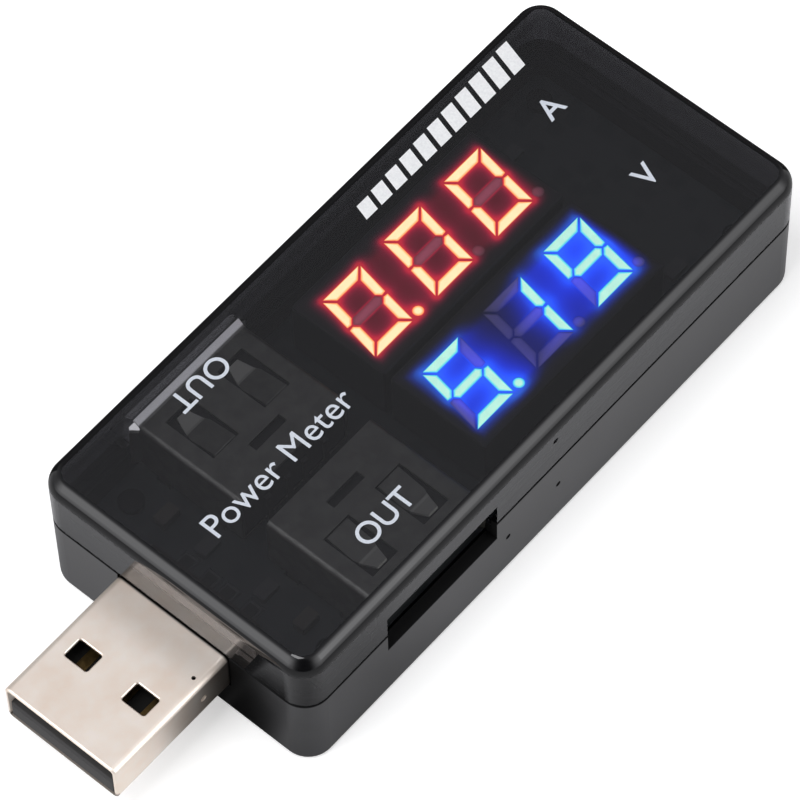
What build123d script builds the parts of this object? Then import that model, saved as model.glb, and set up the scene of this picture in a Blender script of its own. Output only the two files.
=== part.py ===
from build123d import *
import os

# A plug-in USB power meter. Millimetres, +Z up out of the readouts. The origin is the centre of the
# flat underside. X runs along the length, with the plug at the -X end. +Y is the top of the digits,
# and is called left.

# ---- driving dimensions -------------------------------------------------------------------------

# Case
CASE_LENGTH = 63.0
CASE_WIDTH = 29.0
CASE_HEIGHT = 15.3
PARTING_Z = 8.9             # joint between the two halves
CORNER_RADIUS = 2.4         # vertical corners
TOP_BEVEL = 1.0             # 45 degree bevel round the top face
BEVEL_FOOT_RADIUS = 1.6     # soft turn from the bevel into the side wall
BEVEL_TOP_RADIUS = 0.8      # and from the top face into the bevel
BOTTOM_EDGE_RADIUS = 0.6
WALL = 1.2
FLOOR = 1.5
ROOF = 1.4
SEAM_GAP = 0.2              # the halves stand this far apart outside, as a shadow line
SEAM_DEPTH = 0.4
SEAM_EDGE = 0.06            # chamfers that soften the seam's edges
LIP_THICKNESS = 0.5         # the upper half's lip, which drops inside the lower half's wall
LIP_DEPTH = 1.0
LIP_CLEARANCE = 0.05

# Snap beads on the lip, and their slots in the lower half's wall
SNAP_X = (4.0, 22.0)
SNAP_LENGTH = 5.0
SNAP_HEIGHT = 0.4
SNAP_DEPTH = 0.2
SNAP_TOP_BELOW_PARTING = 0.4
SNAP_CLEARANCE = 0.05

# Two sink marks and a speck in the right-hand side wall, as (x, z)
WALL_MARKS = ((-0.8, 12.7), (-0.4, 5.3), (-6.8, 5.1))
WALL_MARK_RADIUS = 0.28
WALL_MARK_DEPTH = 0.1

# Circuit board
BOARD_TOP_Z = 6.2
BOARD_THICKNESS = 1.2
BOARD_X = (-27.3, 29.8)
BOARD_WIDTH = 25.8
BOARD_CORNER_RADIUS = 1.0
LEG_SLOT_CLEARANCE = 0.4
POST_PLACES = ((-24.8, 10.8), (-24.8, -10.8), (27.4, 10.8), (27.4, -10.8))
POST_RADIUS = 1.5
POST_PIN_RADIUS = 0.7
POST_HOLE_RADIUS = 0.8
POST_HEAD_RADIUS = 1.15
POST_HEAD_HEIGHT = 0.4
PLUG_SADDLE_WIDTH = 9.6             # the block that the plug's rear rests on

# Plug, a standard USB-A plug
PLUG_WIDTH = 12.0
PLUG_HEIGHT = 4.5
PLUG_BOTTOM_Z = 4.3
PLUG_EXPOSED = 13.5
PLUG_BURIED = 4.0
PLUG_SHEET = 0.3
PLUG_CORNER_RADIUS = 0.6
PLUG_TIP_RADIUS = 0.18              # rounds the sheet's end at the mouth, outside
PLUG_WINDOW = (2.0, 2.5)            # along X, along Y
PLUG_WINDOW_FROM_TIP = 6.25         # window's centre
PLUG_WINDOW_SIDE = 3.1              # window's centre either side of the middle
PLUG_WINDOW_CORNER_RADIUS = 0.25
PLUG_WINDOW_EDGE = 0.08             # chamfer round each window's rim
PLUG_PINHOLE_RADIUS = 0.18          # one in the top
PLUG_SIDE_HOLE_RADIUS = 0.35        # and a bigger one in the side
PLUG_HOLES_FROM_TIP = 10.4
PLUG_PINHOLE_FROM_SIDE = 0.95
PLUG_SEAM = 0.1
PLUG_OPENING_CLEARANCE = 0.05
WAFER_RECESS = 0.06                 # the wafer's nose sits back from the tip
WAFER_REAR_RECESS = 0.4
WAFER_THICKNESS = 1.85
WAFER_CLEARANCE = 0.05
WAFER_FLOOR_CLEARANCE = 0.02
WAFER_CORNER_RADIUS = 0.3
WAFER_NOSE_CHAMFER = 0.2
PLUG_HOLLOW_DEPTH = 11.0            # room for a socket's tongue
CONTACT_Y = (-3.5, -1.0, 1.0, 3.5)  # standard USB-A contact places
PLUG_CONTACT_WIDTH = 1.0
PLUG_CONTACT_THICKNESS = 0.25
PLUG_CONTACT_STANDS_PROUD = 0.05
PLUG_CONTACT_FROM_TIP = (1.4, 2.4)  # power contacts reach further than data contacts
PLUG_CONTACT_ON_BOARD = 1.7
PLUG_CONTACT_GROOVE_CLEARANCE = 0.02

# Sockets, standard USB-A, in a frame of their own whose mouth faces -Y
PORT_X = -15.0              # both sockets' centre along the case
PORT_WIDTH = 13.1
PORT_HEIGHT = 5.9
PORT_SHEET = 0.3
PORT_CORNER_RADIUS = 0.5
PORT_MOUTH_Y = 13.2         # from the case's middle to the socket's mouth
PORT_BACK_Y = 1.4
PORT_OPENING = (13.6, 5.1)  # in the case wall, along X and Z
PORT_OPENING_BOTTOM_Z = 6.6
PORT_FLARE = 0.6            # the lips at the mouth turn outward by this much
PORT_TOP_LIP_TRIM = 0.15    # the top lip stops this short of each corner
PORT_SIDE_LIP_TRIM = 0.6    # and the side lips this short of theirs
PORT_LIP_OVERLAP = 0.05     # the lips run this far into the body, so that they join it
PORT_LEG_Y = (4.0, 10.0)
PORT_LEG_WIDTH = 1.2
PORT_LEG_DEPTH = 2.1
TONGUE_WIDTH = 11.1
TONGUE_THICKNESS = 1.84
TONGUE_BOTTOM_Z = 9.2
TONGUE_NOSE_Y = 12.2
TONGUE_NOSE_CHAMFER = 0.4
TONGUE_BLOCK_THICKNESS = 1.0
TONGUE_CLEARANCE = 0.05
GROOVE_WIDTH = 1.2
GROOVE_DEPTH = 0.9
GROOVE_FROM_NOSE = 0.6
TAIL_SLOT_CLEARANCE = 0.01

# Sprung contact leaves under each tongue
LEAF_WIDTH = 0.9
LEAF_THICKNESS = 0.2
LEAF_HINGE = (2.9, 9.6)     # distance from the case's middle, and height
LEAF_BEND_Y = 5.5
LEAF_CONTACT = (9.8, 8.7)
LEAF_TIP = (10.9, 9.1)
LEAF_BEND_RADIUS = 0.5
TAIL_GAP = 0.05
TAIL_WIDTH = 0.6
TAIL_DROP_Y = 1.1
TAIL_BEND_RADIUS = 0.15

# Sprung tabs in each socket's top
LATCH_X = (-3.15, 3.15)
LATCH_WINDOW_WIDTH = 3.1
LATCH_WINDOW_Y = (5.9, 11.2)
LATCH_WIDTH = 2.5
LATCH_TAPER_START_Y = 8.8   # from here the tab narrows towards its tip
LATCH_TIP_WIDTH = 0.9
LATCH_THICKNESS = 0.25
LATCH_HINGE_Y = 6.1
LATCH_CONTACT = (9.5, 11.36)
LATCH_TIP = (10.85, 11.78)
LATCH_BEND_RADIUS = 0.4

# A slot across the rear of each socket's top
REAR_SLOT = (3.8, 0.9)
REAR_SLOT_Y = 4.2

# Readouts, standard 0.28 inch three-digit LED modules
DISPLAY_SIZE = (23.0, 10.2)
DISPLAY_FACE_Z = 12.6
DISPLAY_HEIGHT = 6.1
DISPLAY_X = 6.55
DISPLAY_Y = 5.42            # red one, with the blue one opposite
DISPLAY_EDGE_RADIUS = 0.2
DISPLAY_FOOT_SIZE = 0.8
DISPLAY_FOOT_FROM_EDGE = 0.6        # to the foot's centre
DISPLAY_FOOT_OVERLAP = 0.1
DIGIT_PITCH = 7.7
DIGIT_SIZE = (4.8, 7.0)
DIGIT_SLANT = 0.176         # sideways per unit of height, 10 degrees
BAR_WIDTH = 0.95
BAR_GAP = 0.14
BAR_DEPTH = 0.6
BAR_RECESS = 0.03
DOT_RADIUS = 0.52
DOT_OFFSET = (2.7, -3.18)   # from the digit's centre
PIN_ROW_Y = 3.81
PIN_PITCH = 2.54
PINS_PER_ROW = 6
PIN_RADIUS = 0.25
PIN_HOLE_RADIUS = 0.4
PIN_END_Z = 4.1

# Which bars are lit: a is the top, then clockwise to f, with g across the middle
RED_READING = ("abcdef", "abcdef", "abcdef")
BLUE_READING = ("acdfg", "bc", "abcdfg")
DIGITS_WITH_DOT = (0,)

# Parts on the board
CHIP_CENTRE = (22.6, 0.0)
CHIP_SIZE = (3.9, 9.9, 1.45)
CHIP_STANDOFF = 0.1
CHIP_CHAMFER = 0.15
CHIP_LEG_PITCH = 1.27
CHIP_LEGS_PER_SIDE = 7
CHIP_LEG_WIDTH = 0.42
CHIP_LEG_THICKNESS = 0.2
CHIP_LEG_REACH = 1.0
CHIP_LEG_KNEE = 0.4         # from the package to where the leg turns up
REGULATOR_CENTRE = (-24.3, -4.4)
REGULATOR_SIZE = (2.5, 4.5, 1.5)
REGULATOR_LEG_Y = (-1.5, 0.0, 1.5)
REGULATOR_LEG_WIDTH = 0.45
REGULATOR_TAB_WIDTH = 1.7
SHUNT_CENTRE = (-15.0, -6.2)
SHUNT_SIZE = (6.3, 3.2, 0.6)
INPUT_CAPACITOR_CENTRE = (-23.6, 4.4)
INPUT_CAPACITOR_SIZE = (2.8, 3.5, 1.9)
CHIP_PART_FOOTPRINT = (2.0, 1.25)
CHIP_PART_CHAMFER = 0.08
CAPACITOR_HEIGHT = 0.85
RESISTOR_HEIGHT = 0.5
UNDERSIDE_CAPACITORS = ((17.4, 4.4), (17.4, -4.4), (-15.0, 4.2), (-15.0, 7.4))
TOPSIDE_CAPACITORS = ((-24.0, 7.6), (-24.0, -7.6))
UNDERSIDE_RESISTORS = ((17.4, 1.5), (17.4, -1.5), (27.4, 4.4), (27.4, 1.5), (27.4, -1.5), (27.4, -4.4))
TOPSIDE_RESISTORS = ((-23.9, 3.2), (-23.9, -3.2), (21.5, 9.0), (21.5, -9.0))
SOLDER_RADIUS = 0.75
SOLDER_TIP_RADIUS = 0.4
SOLDER_HEIGHT = 0.7
PUDDLE_HEIGHT = 0.18
PUDDLE_WIDTH = 1.6
PUDDLE_SETBACK = 0.4        # from the board's edge, and past the contact's end
PUDDLE_CHAMFER = 0.144

# ---- worked out from the driving dimensions -----------------------------------------------------

BOARD_BOTTOM_Z = BOARD_TOP_Z - BOARD_THICKNESS
CASE_END_X = CASE_LENGTH / 2
CASE_SIDE_Y = CASE_WIDTH / 2
PLUG_TIP_X = -CASE_END_X - PLUG_EXPOSED
PLUG_REAR_X = -CASE_END_X + PLUG_BURIED
PLUG_TOP_Z = PLUG_BOTTOM_Z + PLUG_HEIGHT
PLUG_CENTRE_Z = PLUG_BOTTOM_Z + PLUG_HEIGHT / 2
WAFER_TOP_Z = PLUG_BOTTOM_Z + PLUG_SHEET + WAFER_THICKNESS
PORT_BOTTOM_Z = BOARD_TOP_Z
PORT_TOP_Z = BOARD_TOP_Z + PORT_HEIGHT
DISPLAY_BOTTOM_Z = DISPLAY_FACE_Z - DISPLAY_HEIGHT

CUT_MARGIN = 1.0            # how far a cutting block runs past the faces it cuts
PICK_MARGIN = 0.01          # how far either side of a height its edges are looked for


# ---- helpers ------------------------------------------------------------------------------------

def block(x_range, y_range, z_range):
    """A box between its lowest and highest corners."""
    (x0, x1), (y0, y1), (z0, z1) = x_range, y_range, z_range
    return Pos((x0 + x1) / 2, (y0 + y1) / 2, (z0 + z1) / 2) * Box(x1 - x0, y1 - y0, z1 - z0)


def block_about(x, y, size_x, size_y, z_range):
    """A box centred on x and y."""
    return block((x - size_x / 2, x + size_x / 2), (y - size_y / 2, y + size_y / 2), z_range)


def cylinder(x, y, radius, z_range):
    z0, z1 = z_range
    return Pos(x, y, (z0 + z1) / 2) * Cylinder(radius, z1 - z0)


def case_slab(inset, z_range):
    """The case's outline, shrunk by inset all round, as a slab."""
    outline = RectangleRounded(CASE_LENGTH - 2 * inset, CASE_WIDTH - 2 * inset, CORNER_RADIUS - inset)
    return Pos(0, 0, z_range[0]) * extrude(outline, z_range[1] - z_range[0])


def bar_along_x(x_range, width, z_range, radius):
    """A bar along X with rounded long edges."""
    z0, z1 = z_range
    outline = Plane.YZ * RectangleRounded(width, z1 - z0, radius)
    return Pos(x_range[0], 0, (z0 + z1) / 2) * extrude(outline, x_range[1] - x_range[0])


def bar_to_mouth(near_y, far_y, width, z_range, radius):
    """A bar with rounded long edges that runs towards -Y, from near_y to far_y."""
    z0, z1 = z_range
    outline = Plane.XZ * RectangleRounded(width, z1 - z0, radius)
    return Pos(0, -near_y, (z0 + z1) / 2) * extrude(outline, far_y - near_y)


def bent_strip(points, thickness, width, bend_radius):
    """A strip bent along (distance towards the mouth, height) points, width across X."""
    line = FilletPolyline(*[(-distance, height) for distance, height in points], radius=bend_radius)
    outline = Plane.YZ * trace(line, thickness)
    return extrude(outline, width / 2, both=True)


def prism_across_x(points, length):
    """A polygon of (distance towards the mouth, height) points, extruded across X."""
    line = Polyline(*[(-distance, height) for distance, height in points], close=True)
    return extrude(Plane.YZ * make_face(line), length / 2, both=True)


def group(shapes):
    """Several separate solids in one node."""
    return Compound(children=list(shapes))


def place_port(shape, side):
    """Put a socket piece on its side of the case: the left one is turned half round."""
    turn = 180 if side == "left" else 0
    return Pos(PORT_X, 0, 0) * Rot(0, 0, turn) * shape


# ---- case ---------------------------------------------------------------------------------------

def case_outside():
    body = case_slab(0, (0, CASE_HEIGHT))
    body = chamfer(body.faces().sort_by(Axis.Z)[-1].edges(), TOP_BEVEL)
    bevel_foot = body.edges().filter_by_position(
        Axis.Z, CASE_HEIGHT - TOP_BEVEL - PICK_MARGIN, CASE_HEIGHT - TOP_BEVEL + PICK_MARGIN)
    body = fillet(bevel_foot, BEVEL_FOOT_RADIUS)
    body = fillet(body.faces().sort_by(Axis.Z)[-1].edges(), BEVEL_TOP_RADIUS)
    return fillet(body.faces().sort_by(Axis.Z)[0].edges(), BOTTOM_EDGE_RADIUS)


def port_openings():
    z_range = (PORT_OPENING_BOTTOM_Z, PORT_OPENING_BOTTOM_Z + PORT_OPENING[1])
    y_ranges = ((CASE_SIDE_Y - WALL - CUT_MARGIN, CASE_SIDE_Y + CUT_MARGIN),
                (-CASE_SIDE_Y - CUT_MARGIN, -CASE_SIDE_Y + WALL + CUT_MARGIN))
    x_range = (PORT_X - PORT_OPENING[0] / 2, PORT_X + PORT_OPENING[0] / 2)
    return [block(x_range, y_range, z_range) for y_range in y_ranges]


def plug_opening():
    half = PLUG_WIDTH / 2 + PLUG_OPENING_CLEARANCE
    return block((-CASE_END_X - CUT_MARGIN, -CASE_END_X + WALL + CUT_MARGIN), (-half, half),
                 (PLUG_BOTTOM_Z - PLUG_OPENING_CLEARANCE, PARTING_Z))


def wall_marks():
    """Shallow round marks in the right-hand side wall."""
    mark = Rot(90, 0, 0) * Cylinder(WALL_MARK_RADIUS, 2 * WALL_MARK_DEPTH)
    return [Pos(x, -CASE_SIDE_Y, z) * mark for x, z in WALL_MARKS]


def snap_bars(grow):
    """Short bars along both long sides of the lip, grown by a clearance where they cut slots."""
    lip_face_y = CASE_SIDE_Y - WALL + LIP_THICKNESS
    z_top = PARTING_Z - SNAP_TOP_BELOW_PARTING
    z_range = (z_top - SNAP_HEIGHT - grow, z_top + grow)
    half_width = SNAP_LENGTH / 2 + grow
    bars = []
    for x in SNAP_X:
        for side in (-1, 1):
            inner, outer = lip_face_y - LIP_THICKNESS / 2, lip_face_y + SNAP_DEPTH + grow
            y_range = sorted((side * inner, side * outer))
            bars.append(block((x - half_width, x + half_width), y_range, z_range))
    return bars


def seam_ring():
    """The strip cut from the foot of the upper half all round, which leaves the shadow line."""
    z_range = (PARTING_Z - CUT_MARGIN, PARTING_Z + SEAM_GAP)
    return case_slab(-CUT_MARGIN, z_range) - case_slab(SEAM_DEPTH, z_range)


def upper_shell():
    body = case_outside() - case_slab(-CUT_MARGIN, (-CUT_MARGIN, PARTING_Z)) - seam_ring()
    seam_edge = body.faces().filter_by(Plane.XY).sort_by(Axis.Z)[1].outer_wire().edges()
    body = chamfer(seam_edge, SEAM_EDGE)
    lip_bottom_z = PARTING_Z - LIP_DEPTH
    body += case_slab(WALL - LIP_THICKNESS, (lip_bottom_z, PARTING_Z + ROOF))
    body += snap_bars(0)
    body -= case_slab(WALL, (lip_bottom_z - CUT_MARGIN, CASE_HEIGHT - ROOF))
    body -= port_openings() + wall_marks()
    return body - plug_opening()


def board_post(x, y):
    """A post under the board, with a pin through it whose head is flattened over."""
    post = cylinder(x, y, POST_RADIUS, (FLOOR / 2, BOARD_BOTTOM_Z))
    post += cylinder(x, y, POST_PIN_RADIUS, (BOARD_BOTTOM_Z, BOARD_TOP_Z))
    return post + cylinder(x, y, POST_HEAD_RADIUS, (BOARD_TOP_Z, BOARD_TOP_Z + POST_HEAD_HEIGHT))


def lower_shell():
    body = case_outside() - case_slab(-CUT_MARGIN, (PARTING_Z, CASE_HEIGHT + CUT_MARGIN))
    body = chamfer(body.faces().sort_by(Axis.Z)[-1].edges(), SEAM_EDGE)
    body -= case_slab(WALL, (FLOOR, PARTING_Z + CUT_MARGIN))
    rebate_inset = WALL - LIP_THICKNESS - LIP_CLEARANCE
    body -= case_slab(rebate_inset, (PARTING_Z - LIP_DEPTH - LIP_CLEARANCE, PARTING_Z + CUT_MARGIN))
    body -= snap_bars(SNAP_CLEARANCE)
    body -= port_openings() + wall_marks()
    body -= plug_opening()
    for x, y in POST_PLACES:
        body += board_post(x, y)
    saddle_x = (-CASE_END_X + WALL / 2, PLUG_REAR_X)
    saddle_y = (-PLUG_SADDLE_WIDTH / 2, PLUG_SADDLE_WIDTH / 2)
    return body + block(saddle_x, saddle_y, (FLOOR / 2, PLUG_BOTTOM_Z))


# ---- circuit board ------------------------------------------------------------------------------

def display_pin_places(centre_y):
    places = []
    for row in (-PIN_ROW_Y, PIN_ROW_Y):
        for i in range(PINS_PER_ROW):
            x = DISPLAY_X + (i - (PINS_PER_ROW - 1) / 2) * PIN_PITCH
            places.append((x, centre_y + row))
    return places


def port_tail_places():
    return [(PORT_X + x, side * TAIL_DROP_Y) for x in CONTACT_Y for side in (-1, 1)]


def port_leg_places():
    half = (PORT_WIDTH - PORT_SHEET) / 2
    return [(PORT_X + sx * half, sy * y) for sx in (-1, 1) for sy in (-1, 1) for y in PORT_LEG_Y]


def circuit_board():
    """The board, bored for the posts, the readouts' pins, the sockets' tails and their shells' legs."""
    middle_x = (BOARD_X[0] + BOARD_X[1]) / 2
    outline = RectangleRounded(BOARD_X[1] - BOARD_X[0], BOARD_WIDTH, BOARD_CORNER_RADIUS)
    board = Pos(middle_x, 0, BOARD_BOTTOM_Z) * extrude(outline, BOARD_THICKNESS)
    through = (BOARD_BOTTOM_Z - CUT_MARGIN, BOARD_TOP_Z + CUT_MARGIN)
    holes = [cylinder(x, y, POST_HOLE_RADIUS, through) for x, y in POST_PLACES]
    pin_places = display_pin_places(DISPLAY_Y) + display_pin_places(-DISPLAY_Y) + port_tail_places()
    holes += [cylinder(x, y, PIN_HOLE_RADIUS, through) for x, y in pin_places]
    slot_x = PORT_SHEET + LEG_SLOT_CLEARANCE
    slot_y = PORT_LEG_WIDTH + LEG_SLOT_CLEARANCE
    holes += [block_about(x, y, slot_x, slot_y, through) for x, y in port_leg_places()]
    return board - holes


# ---- plug ---------------------------------------------------------------------------------------

def plug_windows():
    """Cutters for the windows, through the top and the bottom alike."""
    cutter = extrude(RectangleRounded(*PLUG_WINDOW, PLUG_WINDOW_CORNER_RADIUS), CASE_HEIGHT)
    x = PLUG_TIP_X + PLUG_WINDOW_FROM_TIP
    return [Pos(x, y, 0) * cutter for y in (-PLUG_WINDOW_SIDE, PLUG_WINDOW_SIDE)]


def plug_holes():
    """Cutters for the pinhole in the top and the hole in the right-hand side."""
    x = PLUG_TIP_X + PLUG_HOLES_FROM_TIP
    side_y = -PLUG_WIDTH / 2
    pinhole = cylinder(x, side_y + PLUG_PINHOLE_FROM_SIDE, PLUG_PINHOLE_RADIUS, (PLUG_CENTRE_Z, CASE_HEIGHT))
    side_hole = Rot(90, 0, 0) * Cylinder(PLUG_SIDE_HOLE_RADIUS, CUT_MARGIN)
    return [pinhole, Pos(x, side_y, PLUG_CENTRE_Z) * side_hole]


def plug_shell():
    x_range = (PLUG_TIP_X, PLUG_REAR_X)
    body = bar_along_x(x_range, PLUG_WIDTH, (PLUG_BOTTOM_Z, PLUG_TOP_Z), PLUG_CORNER_RADIUS)
    body = fillet(body.faces().sort_by(Axis.X)[0].edges(), PLUG_TIP_RADIUS)
    inner_z = (PLUG_BOTTOM_Z + PLUG_SHEET, PLUG_TOP_Z - PLUG_SHEET)
    body -= bar_along_x((x_range[0] - CUT_MARGIN, x_range[1] + CUT_MARGIN), PLUG_WIDTH - 2 * PLUG_SHEET,
                        inner_z, PLUG_CORNER_RADIUS - PLUG_SHEET)
    body -= plug_windows()
    window_rims = body.faces().sort_by(Axis.Z)[-1].inner_wires().edges()
    body = chamfer(window_rims, PLUG_WINDOW_EDGE)
    body -= block((x_range[0] - CUT_MARGIN, x_range[1] + CUT_MARGIN), (-PLUG_SEAM / 2, PLUG_SEAM / 2),
                  (PLUG_BOTTOM_Z - CUT_MARGIN, PLUG_CENTRE_Z))
    return body - plug_holes()


def plug_contact(y, from_tip, width):
    x_range = (PLUG_TIP_X + from_tip, BOARD_X[0] + PLUG_CONTACT_ON_BOARD)
    z_top = WAFER_TOP_Z + PLUG_CONTACT_STANDS_PROUD
    return block(x_range, (y - width / 2, y + width / 2), (z_top - PLUG_CONTACT_THICKNESS, z_top))


def all_plug_contacts(width):
    """The outer two carry power and reach nearer the tip."""
    power, data = PLUG_CONTACT_FROM_TIP
    reach = (power, data, data, power)
    return [plug_contact(y, from_tip, width) for y, from_tip in zip(CONTACT_Y, reach)]


def plug_insulator():
    """A flat wafer, with a block behind the hollow that a socket's tongue enters."""
    width = PLUG_WIDTH - 2 * (PLUG_SHEET + WAFER_CLEARANCE)
    z_range = (PLUG_BOTTOM_Z + PLUG_SHEET + WAFER_FLOOR_CLEARANCE, PLUG_TOP_Z - PLUG_SHEET - WAFER_CLEARANCE)
    front, rear = PLUG_TIP_X + WAFER_RECESS, PLUG_REAR_X - WAFER_REAR_RECESS
    body = bar_along_x((front, rear), width, z_range, WAFER_CORNER_RADIUS)
    hollow_x = (front - CUT_MARGIN, PLUG_TIP_X + PLUG_HOLLOW_DEPTH)
    body -= block(hollow_x, (-width, width), (WAFER_TOP_Z, PLUG_TOP_Z))
    body = chamfer(body.faces().sort_by(Axis.X)[0].edges(), WAFER_NOSE_CHAMFER)
    return body - all_plug_contacts(PLUG_CONTACT_WIDTH + 2 * PLUG_CONTACT_GROOVE_CLEARANCE)


def plug_contacts():
    return group(all_plug_contacts(PLUG_CONTACT_WIDTH))


# ---- sockets ------------------------------------------------------------------------------------

def flare_profile(start_y, inner, outer):
    """A lip turned outward at 45 degrees: a strip from start_y to the mouth."""
    return ((start_y, inner), (start_y, outer), (PORT_MOUTH_Y - PORT_SHEET / 2, outer + PORT_FLARE),
            (PORT_MOUTH_Y, outer + PORT_FLARE - PORT_SHEET))


def port_lips(start_y):
    top_profile = flare_profile(start_y, PORT_TOP_Z - PORT_SHEET, PORT_TOP_Z)
    top = prism_across_x(top_profile, PORT_WIDTH - 2 * PORT_TOP_LIP_TRIM)
    half = PORT_WIDTH / 2
    side_profile = flare_profile(start_y, half - PORT_SHEET, half)
    upright = prism_across_x(side_profile, PORT_HEIGHT - 2 * PORT_SIDE_LIP_TRIM)
    middle_z = (PORT_BOTTOM_Z + PORT_TOP_Z) / 2
    return [top] + [Pos(0, 0, middle_z) * Rot(0, turn, 0) * upright for turn in (90, -90)]


def top_windows():
    """Cutters for the latch tabs' windows and the rear slot."""
    near_y, far_y = LATCH_WINDOW_Y
    z_range = (PORT_TOP_Z - PORT_SHEET - CUT_MARGIN, PORT_TOP_Z + CUT_MARGIN)
    half = LATCH_WINDOW_WIDTH / 2
    windows = [block((x - half, x + half), (-far_y, -near_y), z_range) for x in LATCH_X]
    return windows + [block_about(0, -REAR_SLOT_Y, *REAR_SLOT, z_range)]


def port_legs():
    half = (PORT_WIDTH - PORT_SHEET) / 2
    z_range = (PORT_BOTTOM_Z - PORT_LEG_DEPTH, PORT_BOTTOM_Z + 2 * PORT_CORNER_RADIUS)
    places = [(side * half, -y) for side in (-1, 1) for y in PORT_LEG_Y]
    return [block_about(x, y, PORT_SHEET, PORT_LEG_WIDTH, z_range) for x, y in places]


def port_shell():
    lip_start_y = PORT_MOUTH_Y - PORT_FLARE - PORT_SHEET / 2
    outer_z = (PORT_BOTTOM_Z, PORT_TOP_Z)
    inner_z = (PORT_BOTTOM_Z + PORT_SHEET, PORT_TOP_Z - PORT_SHEET)
    body = bar_to_mouth(PORT_BACK_Y, lip_start_y, PORT_WIDTH, outer_z, PORT_CORNER_RADIUS)
    body -= bar_to_mouth(PORT_BACK_Y - CUT_MARGIN, PORT_MOUTH_Y, PORT_WIDTH - 2 * PORT_SHEET, inner_z,
                         PORT_CORNER_RADIUS - PORT_SHEET)
    body -= top_windows()
    body += port_legs()
    return body + port_lips(lip_start_y - PORT_LIP_OVERLAP)


def port_tongue():
    half = PORT_WIDTH / 2 - PORT_SHEET - TONGUE_CLEARANCE
    gap = PORT_SHEET + TONGUE_CLEARANCE
    block_z = (PORT_BOTTOM_Z + gap, PORT_TOP_Z - gap)
    stop_front_y = PORT_BACK_Y + TONGUE_BLOCK_THICKNESS
    tongue_z = (TONGUE_BOTTOM_Z, TONGUE_BOTTOM_Z + TONGUE_THICKNESS)
    tongue = block((-TONGUE_WIDTH / 2, TONGUE_WIDTH / 2), (-TONGUE_NOSE_Y, -PORT_BACK_Y), tongue_z)
    tongue = chamfer(tongue.faces().sort_by(Axis.Y)[0].edges(), TONGUE_NOSE_CHAMFER)
    tongue += block((-half, half), (-stop_front_y, -PORT_BACK_Y), block_z)
    groove_y = (-TONGUE_NOSE_Y + GROOVE_FROM_NOSE, -stop_front_y)
    groove_z = (TONGUE_BOTTOM_Z - CUT_MARGIN, TONGUE_BOTTOM_Z + GROOVE_DEPTH)
    tail_half = LEAF_THICKNESS / 2 + TAIL_SLOT_CLEARANCE
    tail_z = (LEAF_HINGE[1] - tail_half, LEAF_HINGE[1] + tail_half)
    for x in CONTACT_Y:
        tongue -= block((x - GROOVE_WIDTH / 2, x + GROOVE_WIDTH / 2), groove_y, groove_z)
        tongue -= block((x - LEAF_WIDTH / 2, x + LEAF_WIDTH / 2), (-stop_front_y - CUT_MARGIN, 0), tail_z)
    return tongue


def contact_leaf():
    """One leaf: a rounded root on its hinge line, a bend down to the contact point, an upturned tip."""
    hinge_y, hinge_z = LEAF_HINGE
    points = (LEAF_HINGE, (LEAF_BEND_Y, hinge_z), LEAF_CONTACT, LEAF_TIP)
    leaf = bent_strip(points, LEAF_THICKNESS, LEAF_WIDTH, LEAF_BEND_RADIUS)
    root = Rot(0, 90, 0) * Cylinder(LEAF_THICKNESS / 2, LEAF_WIDTH)
    return leaf + Pos(0, -hinge_y, hinge_z) * root


def port_contacts():
    return [Pos(x, 0, 0) * contact_leaf() for x in CONTACT_Y]


def contact_tail():
    """The fixed end of a contact: back through the block, then down through the board."""
    start_y = LEAF_HINGE[0] - LEAF_THICKNESS / 2 - TAIL_GAP
    points = ((start_y, LEAF_HINGE[1]), (TAIL_DROP_Y, LEAF_HINGE[1]), (TAIL_DROP_Y, PIN_END_Z))
    return bent_strip(points, LEAF_THICKNESS, TAIL_WIDTH, TAIL_BEND_RADIUS)


def port_tails():
    return [Pos(x, 0, 0) * contact_tail() for x in CONTACT_Y]


def latch_spring():
    """A tab in a window of the socket's top: it dips to press on a plug, then its narrow tip turns up."""
    hinge_z = PORT_TOP_Z - PORT_SHEET / 2
    points = ((LATCH_HINGE_Y, hinge_z), LATCH_CONTACT, LATCH_TIP)
    tab = bent_strip(points, LATCH_THICKNESS, LATCH_WIDTH, LATCH_BEND_RADIUS)
    root = Rot(0, 90, 0) * Cylinder(LATCH_THICKNESS / 2, LATCH_WIDTH)
    tab += Pos(0, -LATCH_HINGE_Y, hinge_z) * root
    half, half_tip = LATCH_WIDTH / 2, LATCH_TIP_WIDTH / 2
    rear_y, end_y = -LATCH_HINGE_Y + CUT_MARGIN, -LATCH_TIP[0] - LATCH_THICKNESS
    plan = make_face(Polyline((-half, rear_y), (-half, -LATCH_TAPER_START_Y), (-half_tip, end_y),
                              (half_tip, end_y), (half, -LATCH_TAPER_START_Y), (half, rear_y), close=True))
    return tab & extrude(plan, CASE_HEIGHT)


def latch_springs():
    return [Pos(x, 0, 0) * latch_spring() for x in LATCH_X]


# ---- readouts -----------------------------------------------------------------------------------

def slanted(x, y):
    """Lean a point of an upright digit over."""
    return (x + DIGIT_SLANT * y, y)


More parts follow.
